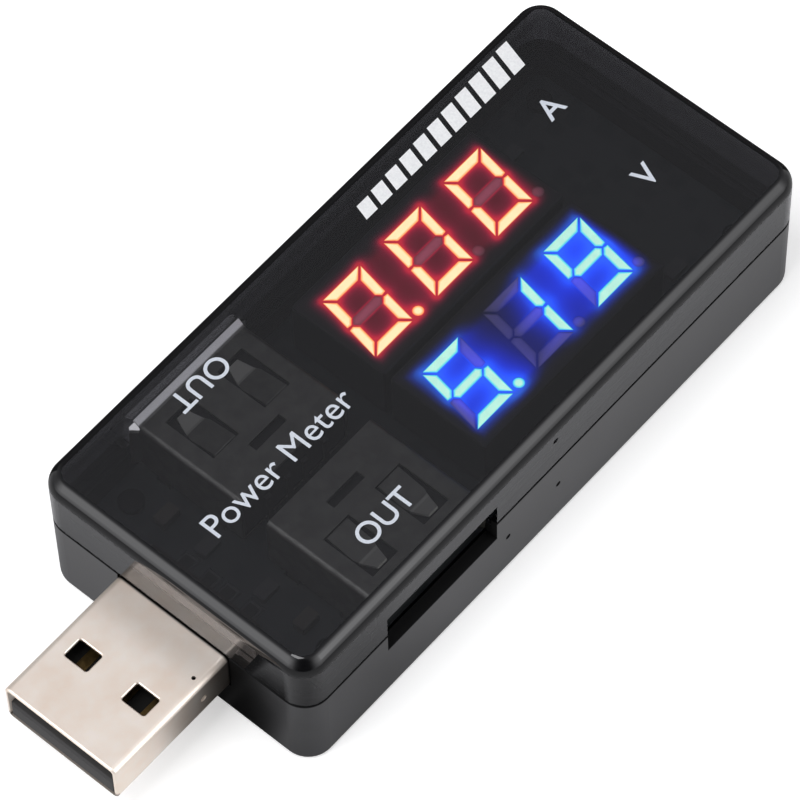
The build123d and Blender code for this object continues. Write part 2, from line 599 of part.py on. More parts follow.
def bar_outlines():
    """The seven bars of one digit as polygons about the digit's centre, with mitred ends."""
    half_w, half_h = DIGIT_SIZE[0] / 2, DIGIT_SIZE[1] / 2
    w, half_bar, gap = BAR_WIDTH, BAR_WIDTH / 2, BAR_GAP
    inner_x, inner_y = half_w - w, half_h - w
    top = [(-half_w + gap, half_h), (half_w - gap, half_h),
           (inner_x - gap, inner_y), (-inner_x + gap, inner_y)]
    upper_right = [(half_w, half_h - gap), (half_w, gap), (half_w - half_bar, gap / 2),
                   (inner_x, half_bar + gap / 2), (inner_x, inner_y - gap)]
    point_x, shoulder_x = half_w - half_bar - gap, inner_x - gap / 2
    middle = [(-point_x, 0), (-shoulder_x, half_bar), (shoulder_x, half_bar),
              (point_x, 0), (shoulder_x, -half_bar), (-shoulder_x, -half_bar)]
    return {
        "a": top,
        "b": upper_right,
        "c": [(x, -y) for x, y in upper_right],
        "d": [(x, -y) for x, y in top],
        "e": [(-x, -y) for x, y in upper_right],
        "f": [(-x, y) for x, y in upper_right],
        "g": middle,
    }


def bar_solid(outline, centre, z_range):
    points = [slanted(x, y) for x, y in outline]
    face = make_face(Polyline(*points, close=True))
    return Pos(centre[0], centre[1], z_range[0]) * extrude(face, z_range[1] - z_range[0])


def display_bars(centre_y, reading, z_range):
    """Every bar and dot of a readout, split into the lit ones and the unlit ones."""
    lit, unlit = [], []
    for i, letters in enumerate(reading):
        centre = (DISPLAY_X + (i - 1) * DIGIT_PITCH, centre_y)
        for name, outline in bar_outlines().items():
            (lit if name in letters else unlit).append(bar_solid(outline, centre, z_range))
        dot = cylinder(centre[0] + DOT_OFFSET[0], centre[1] + DOT_OFFSET[1], DOT_RADIUS, z_range)
        (lit if i in DIGITS_WITH_DOT else unlit).append(dot)
    return lit, unlit


def display_body(centre_y, reading):
    size_x, size_y = DISPLAY_SIZE
    body = block_about(DISPLAY_X, centre_y, size_x, size_y, (DISPLAY_BOTTOM_Z, DISPLAY_FACE_Z))
    body = fillet(body.edges().filter_by(Axis.Z), DISPLAY_EDGE_RADIUS)
    body = chamfer(body.faces().sort_by(Axis.Z)[-1].edges(), DISPLAY_EDGE_RADIUS / 2)
    lit, unlit = display_bars(centre_y, reading, (DISPLAY_FACE_Z - BAR_DEPTH, DISPLAY_FACE_Z + CUT_MARGIN))
    body -= lit + unlit
    foot_x = size_x / 2 - DISPLAY_FOOT_FROM_EDGE
    foot_y = size_y / 2 - DISPLAY_FOOT_FROM_EDGE
    foot_z = (BOARD_TOP_Z, DISPLAY_BOTTOM_Z + DISPLAY_FOOT_OVERLAP)
    for x in (DISPLAY_X - foot_x, DISPLAY_X + foot_x):
        for y in (centre_y - foot_y, centre_y + foot_y):
            body += block_about(x, y, DISPLAY_FOOT_SIZE, DISPLAY_FOOT_SIZE, foot_z)
    return body


def display_pins(centre_y):
    z_range = (PIN_END_Z, DISPLAY_BOTTOM_Z)
    return [cylinder(x, y, PIN_RADIUS, z_range) for x, y in display_pin_places(centre_y)]


# ---- parts on the board -------------------------------------------------------------------------

def chip_body(centre, size):
    """A moulded package under the board."""
    top_z = BOARD_BOTTOM_Z - CHIP_STANDOFF
    body = block_about(*centre, size[0], size[1], (top_z - size[2], top_z))
    return chamfer(body.faces().sort_by(Axis.Z)[0].edges(), CHIP_CHAMFER)


def gull_leg(centre, side, y, width, size):
    """A leg out of a package's side and up to the board, towards +X or -X by side."""
    package_x = size[0] / 2
    middle_z = BOARD_BOTTOM_Z - CHIP_STANDOFF - size[2] / 2
    foot_z = BOARD_BOTTOM_Z - CHIP_LEG_THICKNESS / 2
    knee_x = package_x + CHIP_LEG_KNEE
    toe_x = package_x + CHIP_LEG_REACH
    line = Polyline((package_x, middle_z), (knee_x, middle_z), (knee_x, foot_z), (toe_x, foot_z))
    outline = Plane.XZ * trace(line, CHIP_LEG_THICKNESS)
    leg = extrude(outline, width / 2, both=True)
    if side < 0:
        leg = mirror(leg, Plane.YZ)
    return Pos(centre[0], centre[1] + y, 0) * leg


def controller_legs():
    legs = []
    for side in (-1, 1):
        for i in range(CHIP_LEGS_PER_SIDE):
            y = (i - (CHIP_LEGS_PER_SIDE - 1) / 2) * CHIP_LEG_PITCH
            legs.append(gull_leg(CHIP_CENTRE, side, y, CHIP_LEG_WIDTH, CHIP_SIZE))
    return legs


def regulator_legs():
    legs = [gull_leg(REGULATOR_CENTRE, 1, y, REGULATOR_LEG_WIDTH, REGULATOR_SIZE) for y in REGULATOR_LEG_Y]
    return legs + [gull_leg(REGULATOR_CENTRE, -1, 0, REGULATOR_TAB_WIDTH, REGULATOR_SIZE)]


def flat_part(centre, size, on_top):
    """A two-terminal part lying on the board, with softened long edges."""
    z_range = (BOARD_TOP_Z, BOARD_TOP_Z + size[2]) if on_top else (BOARD_BOTTOM_Z - size[2], BOARD_BOTTOM_Z)
    body = block_about(*centre, size[0], size[1], z_range)
    return chamfer(body.edges().filter_by(Axis.Z), CHIP_PART_CHAMFER)


def small_parts(underside, topside, height):
    size = (*CHIP_PART_FOOTPRINT, height)
    return [flat_part(c, size, False) for c in underside] + [flat_part(c, size, True) for c in topside]


def solder_cone(x, y, pin):
    """Solder drawn up round a pin under the board."""
    z_top = BOARD_BOTTOM_Z
    cone = Cone(SOLDER_TIP_RADIUS, SOLDER_RADIUS, SOLDER_HEIGHT)
    return Pos(x, y, z_top - SOLDER_HEIGHT / 2) * cone - pin


def solder_joints():
    joints = []
    pin_z = (PIN_END_Z - CUT_MARGIN, BOARD_TOP_Z)
    for x, y in display_pin_places(DISPLAY_Y) + display_pin_places(-DISPLAY_Y):
        joints.append(solder_cone(x, y, cylinder(x, y, PIN_RADIUS, pin_z)))
    for x, y in port_tail_places():
        joints.append(solder_cone(x, y, block_about(x, y, TAIL_WIDTH, LEAF_THICKNESS, pin_z)))
    puddle_x = (BOARD_X[0] + PUDDLE_SETBACK, BOARD_X[0] + PLUG_CONTACT_ON_BOARD + PUDDLE_SETBACK)
    puddle_z = (BOARD_TOP_Z, BOARD_TOP_Z + PUDDLE_HEIGHT)
    for y, strip in zip(CONTACT_Y, all_plug_contacts(PLUG_CONTACT_WIDTH)):
        puddle = block(puddle_x, (y - PUDDLE_WIDTH / 2, y + PUDDLE_WIDTH / 2), puddle_z)
        joints.append(chamfer(puddle.faces().sort_by(Axis.Z)[-1].edges(), PUDDLE_CHAMFER) - strip)
    return joints


# ---- every node ---------------------------------------------------------------------------------

def all_nodes():
    nodes = {
        "upper_shell": upper_shell(),
        "lower_shell": lower_shell(),
        "circuit_board": circuit_board(),
        "plug_shell": plug_shell(),
        "plug_insulator": plug_insulator(),
        "plug_contacts": plug_contacts(),
        "controller_chip": chip_body(CHIP_CENTRE, CHIP_SIZE),
        "controller_legs": group(controller_legs()),
        "voltage_regulator": chip_body(REGULATOR_CENTRE, REGULATOR_SIZE),
        "regulator_legs": group(regulator_legs()),
        "shunt_resistor": flat_part(SHUNT_CENTRE, SHUNT_SIZE, False),
        "input_capacitor": flat_part(INPUT_CAPACITOR_CENTRE, INPUT_CAPACITOR_SIZE, False),
        "ceramic_capacitors": group(small_parts(UNDERSIDE_CAPACITORS, TOPSIDE_CAPACITORS, CAPACITOR_HEIGHT)),
        "chip_resistors": group(small_parts(UNDERSIDE_RESISTORS, TOPSIDE_RESISTORS, RESISTOR_HEIGHT)),
        "solder_joints": group(solder_joints()),
    }
    for side in ("left", "right"):
        nodes[side + "_port_shell"] = place_port(port_shell(), side)
        nodes[side + "_port_tongue"] = place_port(port_tongue(), side)
        nodes[side + "_port_contacts"] = group(place_port(leaf, side) for leaf in port_contacts())
        nodes[side + "_port_tails"] = group(place_port(tail, side) for tail in port_tails())
        nodes[side + "_port_latch_springs"] = group(place_port(tab, side) for tab in latch_springs())
    bar_z = (DISPLAY_FACE_Z - BAR_DEPTH, DISPLAY_FACE_Z - BAR_RECESS)
    for colour, centre_y, reading in (("red", DISPLAY_Y, RED_READING), ("blue", -DISPLAY_Y, BLUE_READING)):
        lit, unlit = display_bars(centre_y, reading, bar_z)
        nodes[colour + "_display_body"] = display_body(centre_y, reading)
        nodes[colour + "_lit_segments"] = group(lit)
        nodes[colour + "_unlit_segments"] = group(unlit)
        nodes[colour + "_display_pins"] = group(display_pins(centre_y))
    return nodes


os.makedirs("parts", exist_ok=True)
for name, shape in all_nodes().items():
    export_step(shape, "parts/" + name + ".step")
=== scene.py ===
"""Looks for the USB power meter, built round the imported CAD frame. Metres, +Z up, plug towards -X."""
import math

import bmesh
import bpy
import numpy as np
from mathutils import Matrix, Vector
from mathutils.geometry import convex_hull_2d, delaunay_2d_cdt


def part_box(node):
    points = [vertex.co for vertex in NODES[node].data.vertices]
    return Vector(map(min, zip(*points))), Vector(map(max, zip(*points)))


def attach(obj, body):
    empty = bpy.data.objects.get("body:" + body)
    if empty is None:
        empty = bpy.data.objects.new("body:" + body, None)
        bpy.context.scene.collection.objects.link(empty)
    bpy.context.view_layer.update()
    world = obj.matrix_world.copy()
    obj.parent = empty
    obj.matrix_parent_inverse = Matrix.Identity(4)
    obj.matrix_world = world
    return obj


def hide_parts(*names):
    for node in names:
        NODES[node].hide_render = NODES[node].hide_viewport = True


MM = 0.001
BODY = "meter"

# Camera, at the photograph's viewing angle
CAMERA_AZIMUTH = -47.66
CAMERA_ELEVATION = 58.57
CAMERA_ROLL = -1.91
CAMERA_DISTANCE = 427.6 * MM
CAMERA_TARGET = (-3.83 * MM, -0.31 * MM, 7.88 * MM)
CAMERA_LENS = 232.8

# Case
CASE_WALL = 1.2
CASE_CORNER = 2.4
CAVITY_CORNER = 1.2
BEVEL_BAND = 1.5            # height of the bevel and its soft foot, below the top face
CASE_FOOT_HEIGHT = 0.8      # the rounded foot and underside lie below this
SKIN_DEPTH = 0.05           # what lies deeper than this in a side wall isn't its outer face
SMOKE_PER_MM = 0.40         # how fast the smoked plastic takes up light
SMOKE_HAZE = 0.024          # the share of light that it scatters
PLASTIC_IOR = 1.46
SEAM_BELOW = (0.14, 0.05)   # the shade along the joint starts and is full this far below it
SEAM_ABOVE = (0.36, 0.24)   # and ends and is full this far above it
FACES_UP = 0.05             # a normal's Z above which a face looks upward

# Plug, in millimetres from the case's end wall or from the plug's own sides
PLUG_TOP_SHADE_FROM = 6.0         # painted shade on its top starts this far from the case
PLUG_SIDE_SHADE_FROM = 9.5        # and on its sides this far
PLUG_TOP_KEEPS = 0.62       # the brightness its top keeps at the case
PLUG_SIDE_KEEPS = 0.12      # and its sides, and the foot of its mouth
PLUG_DARK_KEEPS = 0.04      # and all of it inside the hollow
PLUG_BEHIND_WALL = (0.1, 0.4)   # where it passes under the end wall
PLUG_IN_DARK = (3.0, 3.2)   # and where the dark of the hollow begins
PLUG_LINE = (0.05, 0.3)     # the painted shade line where it enters the case, from its core to its edge
MOUTH_DEPTH = (0.35, 0.15)  # the shaded end of its mouth
MOUTH_SHADE = (1.0, 0.4)    # the shade's height over the plug's underside
GLEAM_FROM = 6.5            # its sides get a painted glow from this far off the case to the tip
WALL_GLEAM, SIDE_GLEAM, TOP_GLEAM = 0.22, 0.14, 0.12
WAFER_SHADE_DEPTH = 4.0     # its wafer darkens over this length
LEE_DEPTH = (0.3, 2.0)      # the plug's shade on the end wall ends this far along the case's side
LEE_WIDTH = (1.0, 9.0)      # and this far off the plug's right side
LEE_INSET = 1.0             # across the plug's back it ends this far in from the plug's sides
LEE_LIGHT = 0.06            # what light is left in it

# Sockets, in millimetres
LIP_DEPTH = 0.7             # the painted highlight on the top lip, back from its edge
LIP_HEIGHT = 0.75           # and down from it
TAB_TIP = 1.7               # the painted highlight on the tip of a sprung tab
HIGHLIGHT_BLUR = 0.15

# Readouts
SAME_POINT = 1e-7           # points closer than this are one
FLAT_TOP = 0.9              # a normal's Z above which a face is part of a flat top
GLOW_GRID = 0.2 * MM
FILM_LIFT = 0.012 * MM
FILM_MARGIN = 0.1 * MM
FACE_FADE = 1.2 * MM        # the glow dies away over this at the edge of a readout's face
FLOOD_REACH = 1.5 * MM      # how far a lit bar's light spreads inside the readout
FLOOD_FADE = 1.2 * MM       # the width over which that light ends, centred on the digits' outline
FLOOD_POWER = 2.5           # how much the flood gathers where lit bars lie close together
# Each readout's colours: a lit bar's rim, middle and core, with its radiance, an unlit bar, the flood in
# the readout's body, and the glow on its face from faint to strong. Reach is how far that glow spreads.
READOUTS = {
    "red": {
        "lit_colours": ((1.0, 0.035, 0.03), (1.0, 0.45, 0.15), (1.0, 0.80, 0.44)),
        "radiance": 2.8,
        "resting_colour": (0.36, 0.11, 0.17),
        "flood_colour": (0.30, 0.001, 0.022),
        "reach": 0.4 * MM,
        "face_stops": (
            (0.0, (0.0, 0.0, 0.0)), (0.05, (0.010, 0.002, 0.004)), (0.12, (0.045, 0.003, 0.012)),
            (0.24, (0.12, 0.005, 0.024)), (0.38, (0.28, 0.007, 0.04)), (0.53, (0.70, 0.012, 0.06)),
            (0.66, (1.1, 0.03, 0.07))),
    },
    "blue": {
        "lit_colours": ((0.02, 0.30, 1.0), (0.14, 0.85, 0.92), (0.56, 1.0, 0.80)),
        "radiance": 2.3,
        "resting_colour": (0.15, 0.13, 0.30),
        "flood_colour": (0.002, 0.055, 2.2),
        "reach": 0.8 * MM,
        "face_stops": (
            (0.0, (0.0, 0.0, 0.0)), (0.10, (0.002, 0.003, 0.02)), (0.20, (0.004, 0.010, 0.09)),
            (0.33, (0.006, 0.020, 0.22)), (0.47, (0.010, 0.045, 0.40)), (0.63, (0.02, 0.13, 0.85)),
            (0.80, (0.04, 0.24, 1.4))),
    },
}
BAR_DEPTH = 0.5 * MM
BAR_STEPS = ((0.11 * MM, 0.012 * MM, 0.4), (0.17 * MM, 0.010 * MM, 1.0))    # inset, lift and core of each

# Print on the top face
PRINT_LIFT = 0.008 * MM
LEGENDS = (                 # name, text, letter size and place in millimetres, turn, extra boldness
    ("print_out_right", "OUT", 2.85, (-16.3, -9.6), 0.0, 0.02),
    ("print_out_left", "OUT", 2.85, (-16.4, 10.15), math.pi, 0.02),
    ("print_title", "Power Meter", 3.15, (-18.0, 0.2), 0.0, 0.0),
    ("print_amps", "A", 3.0, (22.7, 5.6), 0.0, 0.03),
    ("print_volts", "V", 3.0, (22.6, -4.8), 0.0, 0.03),
)
LEVEL_BARS = 11
LEVEL_BARS_X = (4.3 * MM, 25.2 * MM)
LEVEL_BARS_Y = 10.15 * MM
LEVEL_BAR_HEIGHTS = (1.5 * MM, 2.8 * MM)
LEVEL_BAR_LIFTS = (0.001 * MM, 0.016 * MM)
LEVEL_BAR_FILL = 0.74       # a bar's share of its pitch
LEVEL_BAR_SLANT = 0.3       # how far a bar leans, per unit of height

# Stage
FLOOR_HALF_SIZE = 1.5
FLOOR_LIFT = 0.45           # what the floor gives off by itself, so that it stays white
MIRRORED_REACH = 200.0      # millimetres off the case over which its mirror image of the floor changes
MIRRORED_NEAR = ((0.0, (0.38, 0.38, 0.39)), (0.03, (0.66, 0.66, 0.67)), (0.07, (0.60, 0.60, 0.60)),
                 (1.0, (0.50, 0.50, 0.50)))
MIRRORED_FAR = ((0.0, (0.50, 0.50, 0.51)), (0.03, (0.40, 0.40, 0.40)), (0.07, (0.04, 0.04, 0.04)),
                (0.7, (0.04, 0.04, 0.04)), (1.0, (0.45, 0.45, 0.45)))
NEAR_SIDE_BLUR = 4.0        # the width in millimetres over which the near side's image becomes the far side's
PLUG_SHADE = 0.95           # how much of the floor's mirror image the plug's shade takes away
CORNER_SHADE = 0.45         # and the share of that before the near corner
KEY_DIRECTION = (-100, 70)  # azimuth and elevation in degrees
KEY_DISTANCE = 700 * MM
KEY_SIZE = 300 * MM
KEY_RADIANCE = 6.5
# The dome's colours, from the horizon to straight up or down
DOME = ((0.0, (0.55, 0.55, 0.56)), (0.45, (0.45, 0.45, 0.46)), (1.0, (0.38, 0.38, 0.395)))
SOFT_BOXES = (              # azimuth and elevation in degrees, spread and radiance
    (22, 25, 0.075, 2.6),
    (19, 19, 0.003, 1.8),
    (-113, 25, 0.075, 3.2),
)

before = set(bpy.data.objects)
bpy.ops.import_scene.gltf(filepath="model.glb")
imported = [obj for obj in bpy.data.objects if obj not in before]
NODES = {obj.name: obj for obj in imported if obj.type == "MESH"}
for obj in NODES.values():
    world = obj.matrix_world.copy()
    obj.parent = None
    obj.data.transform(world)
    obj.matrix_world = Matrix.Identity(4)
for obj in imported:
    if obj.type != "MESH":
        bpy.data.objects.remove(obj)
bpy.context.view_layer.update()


# ---- node and mesh helpers ----------------------------------------------------------------------

def add(tree, kind, inputs=None, **settings):
    """Adds a shader node. An input given as another node's socket is linked, anything else is a value."""
    node = tree.nodes.new("ShaderNode" + kind)
    for key, value in settings.items():
        setattr(node, key, value)
    for key, value in (inputs or {}).items():
        if isinstance(value, bpy.types.NodeSocket):
            tree.links.new(value, node.inputs[key])
        else:
            node.inputs[key].default_value = value
    return node


def new_material(name):
    material = bpy.data.materials.new(name)
    material.use_nodes = True
    material.node_tree.nodes.clear()
    return material, material.node_tree


def finish_material(tree, surface, volume=None):
    output = add(tree, "OutputMaterial", {"Surface": surface})
    if volume is not None:
        tree.links.new(volume, output.inputs["Volume"])


def rgb(r, g, b):
    return (r, g, b, 1.0)


def rgb_stops(stops):
    return [(place, rgb(*colour)) for place, colour in stops]


def scaled(tree, vector, factor):
    return add(tree, "VectorMath", {0: vector, "Scale": factor}, operation="SCALE").outputs[0]


def position_mm(tree):
    """The shading point in the object's own frame, in millimetres."""
    return scaled(tree, add(tree, "TexCoord").outputs["Object"], 1 / MM)


def axis(tree, vector, name):
    return add(tree, "SeparateXYZ", {0: vector}).outputs[name]


def math_node(tree, operation, a, b=0.0, clamp=False):
    return add(tree, "Math", {0: a, 1: b}, operation=operation, use_clamp=clamp).outputs[0]


def fade(tree, value, start, end):
    """0 at start and 1 at end, smoothly, held beyond both."""
    inputs = {"Value": value, "From Min": start, "From Max": end}
    return add(tree, "MapRange", inputs, interpolation_type="SMOOTHSTEP").outputs[0]


def noise(tree, vector, scale, detail=3.0, roughness=0.55):
    inputs = {"Vector": vector, "Scale": scale, "Detail": detail, "Roughness": roughness}
    return add(tree, "TexNoise", inputs).outputs[0]


def blend(tree, factor, a, b):
    """a where the factor is 0, and b where it is 1."""
    return add(tree, "Mix", {"Factor": factor, "A": a, "B": b}).outputs[0]


def blend_colours(tree, factor, a, b):
    return add(tree, "Mix", {0: factor, 6: a, 7: b}, data_type="RGBA").outputs[2]


def remap(tree, value, low, high):
    """Maps 0..1 to low..high."""
    return add(tree, "MapRange", {"Value": value, "To Min": low, "To Max": high}).outputs[0]


def ramp(tree, value, stops):
    node = add(tree, "ValToRGB", {"Fac": value})
    elements = node.color_ramp.elements
    while len(elements) < len(stops):
        elements.new(1.0)
    for element, (place, colour) in zip(elements, stops):
        element.position = place
        element.color = colour
    return node.outputs["Color"]


def bump(tree, height, strength, distance_mm):
    inputs = {"Height": height, "Strength": strength, "Distance": distance_mm * MM}
    return add(tree, "Bump", inputs).outputs[0]


def mesh_object(name, bm, material, smooth=False):
    mesh = bpy.data.meshes.new(name)
    bm.to_mesh(mesh)
    bm.free()
    mesh.materials.append(material)
    if smooth:
        mesh.polygons.foreach_set("use_smooth", [True] * len(mesh.polygons))
    obj = bpy.data.objects.new(name, mesh)
    bpy.context.scene.collection.objects.link(obj)
    return obj


def dress(node, material):
    """Gives a CAD node its material."""
    mesh = NODES[node].data
    mesh.materials.clear()
    mesh.materials.append(material)


# ---- materials: case ----------------------------------------------------------------------------

def true_fresnel(tree, ior, normal):
    """Fresnel that gives the same answer on the front and the back of a surface."""
    backfacing = add(tree, "NewGeometry").outputs["Backfacing"]
    return add(tree, "Fresnel", {"IOR": blend(tree, backfacing, ior, 1 / ior), "Normal": normal}).outputs[0]


def beyond_box(tree, place, half_x, half_y):
    """How far a point lies outside an upright box round the middle, along X and Y, never negative."""
    folded = add(tree, "VectorMath", {0: place}, operation="ABSOLUTE").outputs[0]
    beyond = add(tree, "VectorMath", {0: folded, 1: (half_x, half_y, 0)}, operation="SUBTRACT").outputs[0]
    beyond = add(tree, "VectorMath", {0: beyond, 1: (0, 0, 0)}, operation="MAXIMUM").outputs[0]
    flat = add(tree, "VectorMath", {0: beyond, 1: (1, 1, 0)}, operation="MULTIPLY").outputs[0]
    return add(tree, "VectorMath", {0: flat}, operation="LENGTH").outputs["Value"]


def outer_skin(tree, place):
    """1 on the case's outer side faces and 0 further in."""
    low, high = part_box("lower_shell")
    half = [(high[i] - low[i]) / 2 / MM - CASE_CORNER for i in range(2)]
    return math_node(tree, "GREATER_THAN", beyond_box(tree, place, *half), CASE_CORNER - SKIN_DEPTH)


def in_side_wall(tree, place):
    """1 within the thickness of the two long walls, so also on the edges of the sockets' openings."""
    across = math_node(tree, "ABSOLUTE", axis(tree, place, "Y"))
    inner_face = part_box("upper_shell")[1].y / MM - CASE_WALL
    return math_node(tree, "GREATER_THAN", across, inner_face + SKIN_DEPTH)


def near_seam(tree, place):
    """1 along the joint between the halves, where neither gets much light."""
    height = axis(tree, place, "Z")
    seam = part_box("lower_shell")[1].z / MM
    below = fade(tree, height, *(seam - gap for gap in SEAM_BELOW))
    above = fade(tree, height, *(seam + gap for gap in SEAM_ABOVE))
    return math_node(tree, "MULTIPLY", below, above)


def outside_cavity(tree, place):
    """1 over the solid rim of the roof, outside the hollow, and 0 over the hollow."""
    low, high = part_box("upper_shell")
    half = [(high[i] - low[i]) / 2 / MM - CASE_WALL - CAVITY_CORNER for i in range(2)]
    return math_node(tree, "GREATER_THAN", beyond_box(tree, place, *half), CAVITY_CORNER)


def rim_mask(tree, place):
    """1 on the bevel and on the top face over the side walls. Light that enters there is mirrored down
    inside the wall and lost, so the rim looks solid and dark though the roof is clear."""
    bevel_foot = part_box("upper_shell")[1].z / MM - BEVEL_BAND
    is_high = math_node(tree, "GREATER_THAN", axis(tree, place, "Z"), bevel_foot)
    facing = axis(tree, add(tree, "NewGeometry").outputs["True Normal"], "Z")
    looks_up = math_node(tree, "GREATER_THAN", facing, FACES_UP)
    both = math_node(tree, "MULTIPLY", is_high, looks_up)
    return math_node(tree, "MULTIPLY", both, outside_cavity(tree, place))


def smoked_plastic():
    """Polished, smoke-tinted, see-through plastic, with faint moulding waviness and fingerprints. What is
    seen right through it, out of an outer wall or a socket's opening, is much dimmed, as bent light would
    be."""
    material, tree = new_material("smoked_plastic")
    place = position_mm(tree)
    waves = noise(tree, place, 0.12, 2.0)
    wavy = bump(tree, waves, 0.12, 0.35)
    smudge = noise(tree, place, 0.35, 4.0, 0.65)
    roughness = remap(tree, smudge, 0.015, 0.075)
    at_wall = math_node(tree, "MAXIMUM", outer_skin(tree, place), in_side_wall(tree, place))
    leaving = math_node(tree, "MULTIPLY", add(tree, "NewGeometry").outputs["Backfacing"], at_wall)
    clearness = ramp(tree, leaving, ((0.0, rgb(0.91, 0.91, 0.925)), (1.0, rgb(0.06, 0.06, 0.065))))
    clear = add(tree, "BsdfTransparent", {"Color": clearness})
    haze = add(tree, "BsdfDiffuse", {"Color": rgb(0.10, 0.10, 0.11)})
    over_hollow = add(tree, "MixShader", {0: SMOKE_HAZE, 1: clear.outputs[0], 2: haze.outputs[0]})
    # Painted shade: the rim, where light is lost inside the wall, and the joint between the halves are
    # near-black.
    solid = add(tree, "BsdfDiffuse", {"Color": rgb(0.003, 0.003, 0.0035)})
    painted_dark_share = math_node(tree, "MAXIMUM", rim_mask(tree, place), near_seam(tree, place))
    body = add(tree, "MixShader", {0: painted_dark_share, 1: over_hollow.outputs[0], 2: solid.outputs[0]})
    gloss = add(tree, "BsdfGlossy", {"Color": rgb(0.98, 0.98, 1.0), "Roughness": roughness, "Normal": wavy})
    lit = math_node(tree, "SUBTRACT", 1.0, near_seam(tree, place))
    shine = math_node(tree, "MULTIPLY", true_fresnel(tree, PLASTIC_IOR, wavy), lit)
    skin = add(tree, "MixShader", {0: shine, 1: body.outputs[0], 2: gloss.outputs[0]})
    smoke = add(tree, "VolumeAbsorption", {"Color": rgb(0.0, 0.0, 0.03), "Density": SMOKE_PER_MM / MM})
    finish_material(tree, skin.outputs[0], smoke.outputs[0])
    return material


def beside_plug(tree, place):
    """How much light reaches the case: little on the end wall in the plug's lee, on its right, and all of it
    elsewhere."""
    case_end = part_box("lower_shell")[0].x / MM
    plug_side, plug_other_side = (corner.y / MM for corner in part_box("plug_shell"))
    across = axis(tree, place, "Y")
    off_end = fade(tree, axis(tree, place, "X"), *(case_end + gap for gap in LEE_DEPTH))
    off_plug = fade(tree, across, *(plug_side - gap for gap in LEE_WIDTH))
    behind_plug = fade(tree, across, plug_side + LEE_INSET, plug_other_side - LEE_INSET)
    most = math_node(tree, "MAXIMUM", math_node(tree, "MAXIMUM", off_end, off_plug), behind_plug)
    return remap(tree, most, LEE_LIGHT, 1.0)


def dark_case_plastic():
    """Opaque charcoal plastic with a fine satin mould texture, unpolished inside, and painted near-black
    there and along the joint as shade.
    """
    material, tree = new_material("dark_case_plastic")
    place = position_mm(tree)
    grain = noise(tree, place, 9.0, 2.0)
    cloud = noise(tree, place, 0.25, 3.0)
    colour = ramp(tree, cloud, ((0.3, rgb(0.032, 0.032, 0.034)), (0.7, rgb(0.042, 0.042, 0.045))))
    lit = beside_plug(tree, place)
    colour = scaled(tree, colour, lit)
    outside = add(tree, "BsdfPrincipled", {
        "Base Color": colour, "Roughness": remap(tree, cloud, 0.30, 0.40), "IOR": 1.5,
        "Specular IOR Level": remap(tree, lit, 0.1, 0.5), "Normal": bump(tree, grain, 0.12, 0.02)})
    # Painted shade: the near-black colour used inside the case and along the joint with the top half.
    inside = add(tree, "BsdfPrincipled", {
        "Base Color": rgb(0.006, 0.006, 0.0065), "Roughness": remap(tree, grain, 0.7, 0.9),
        "Specular IOR Level": 0.15, "Normal": bump(tree, grain, 0.2, 0.02)})
    is_floor = math_node(tree, "LESS_THAN", axis(tree, place, "Z"), CASE_FOOT_HEIGHT)
    unshaded_outside = math_node(tree, "MAXIMUM", is_floor, outer_skin(tree, place))
    unshaded_outside = math_node(tree, "SUBTRACT", unshaded_outside, near_seam(tree, place), clamp=True)
    shader = add(tree, "MixShader", {0: unshaded_outside, 1: inside.outputs[0], 2: outside.outputs[0]})
    finish_material(tree, shader.outputs[0])
    return material


# ---- materials: metal ---------------------------------------------------------------------------

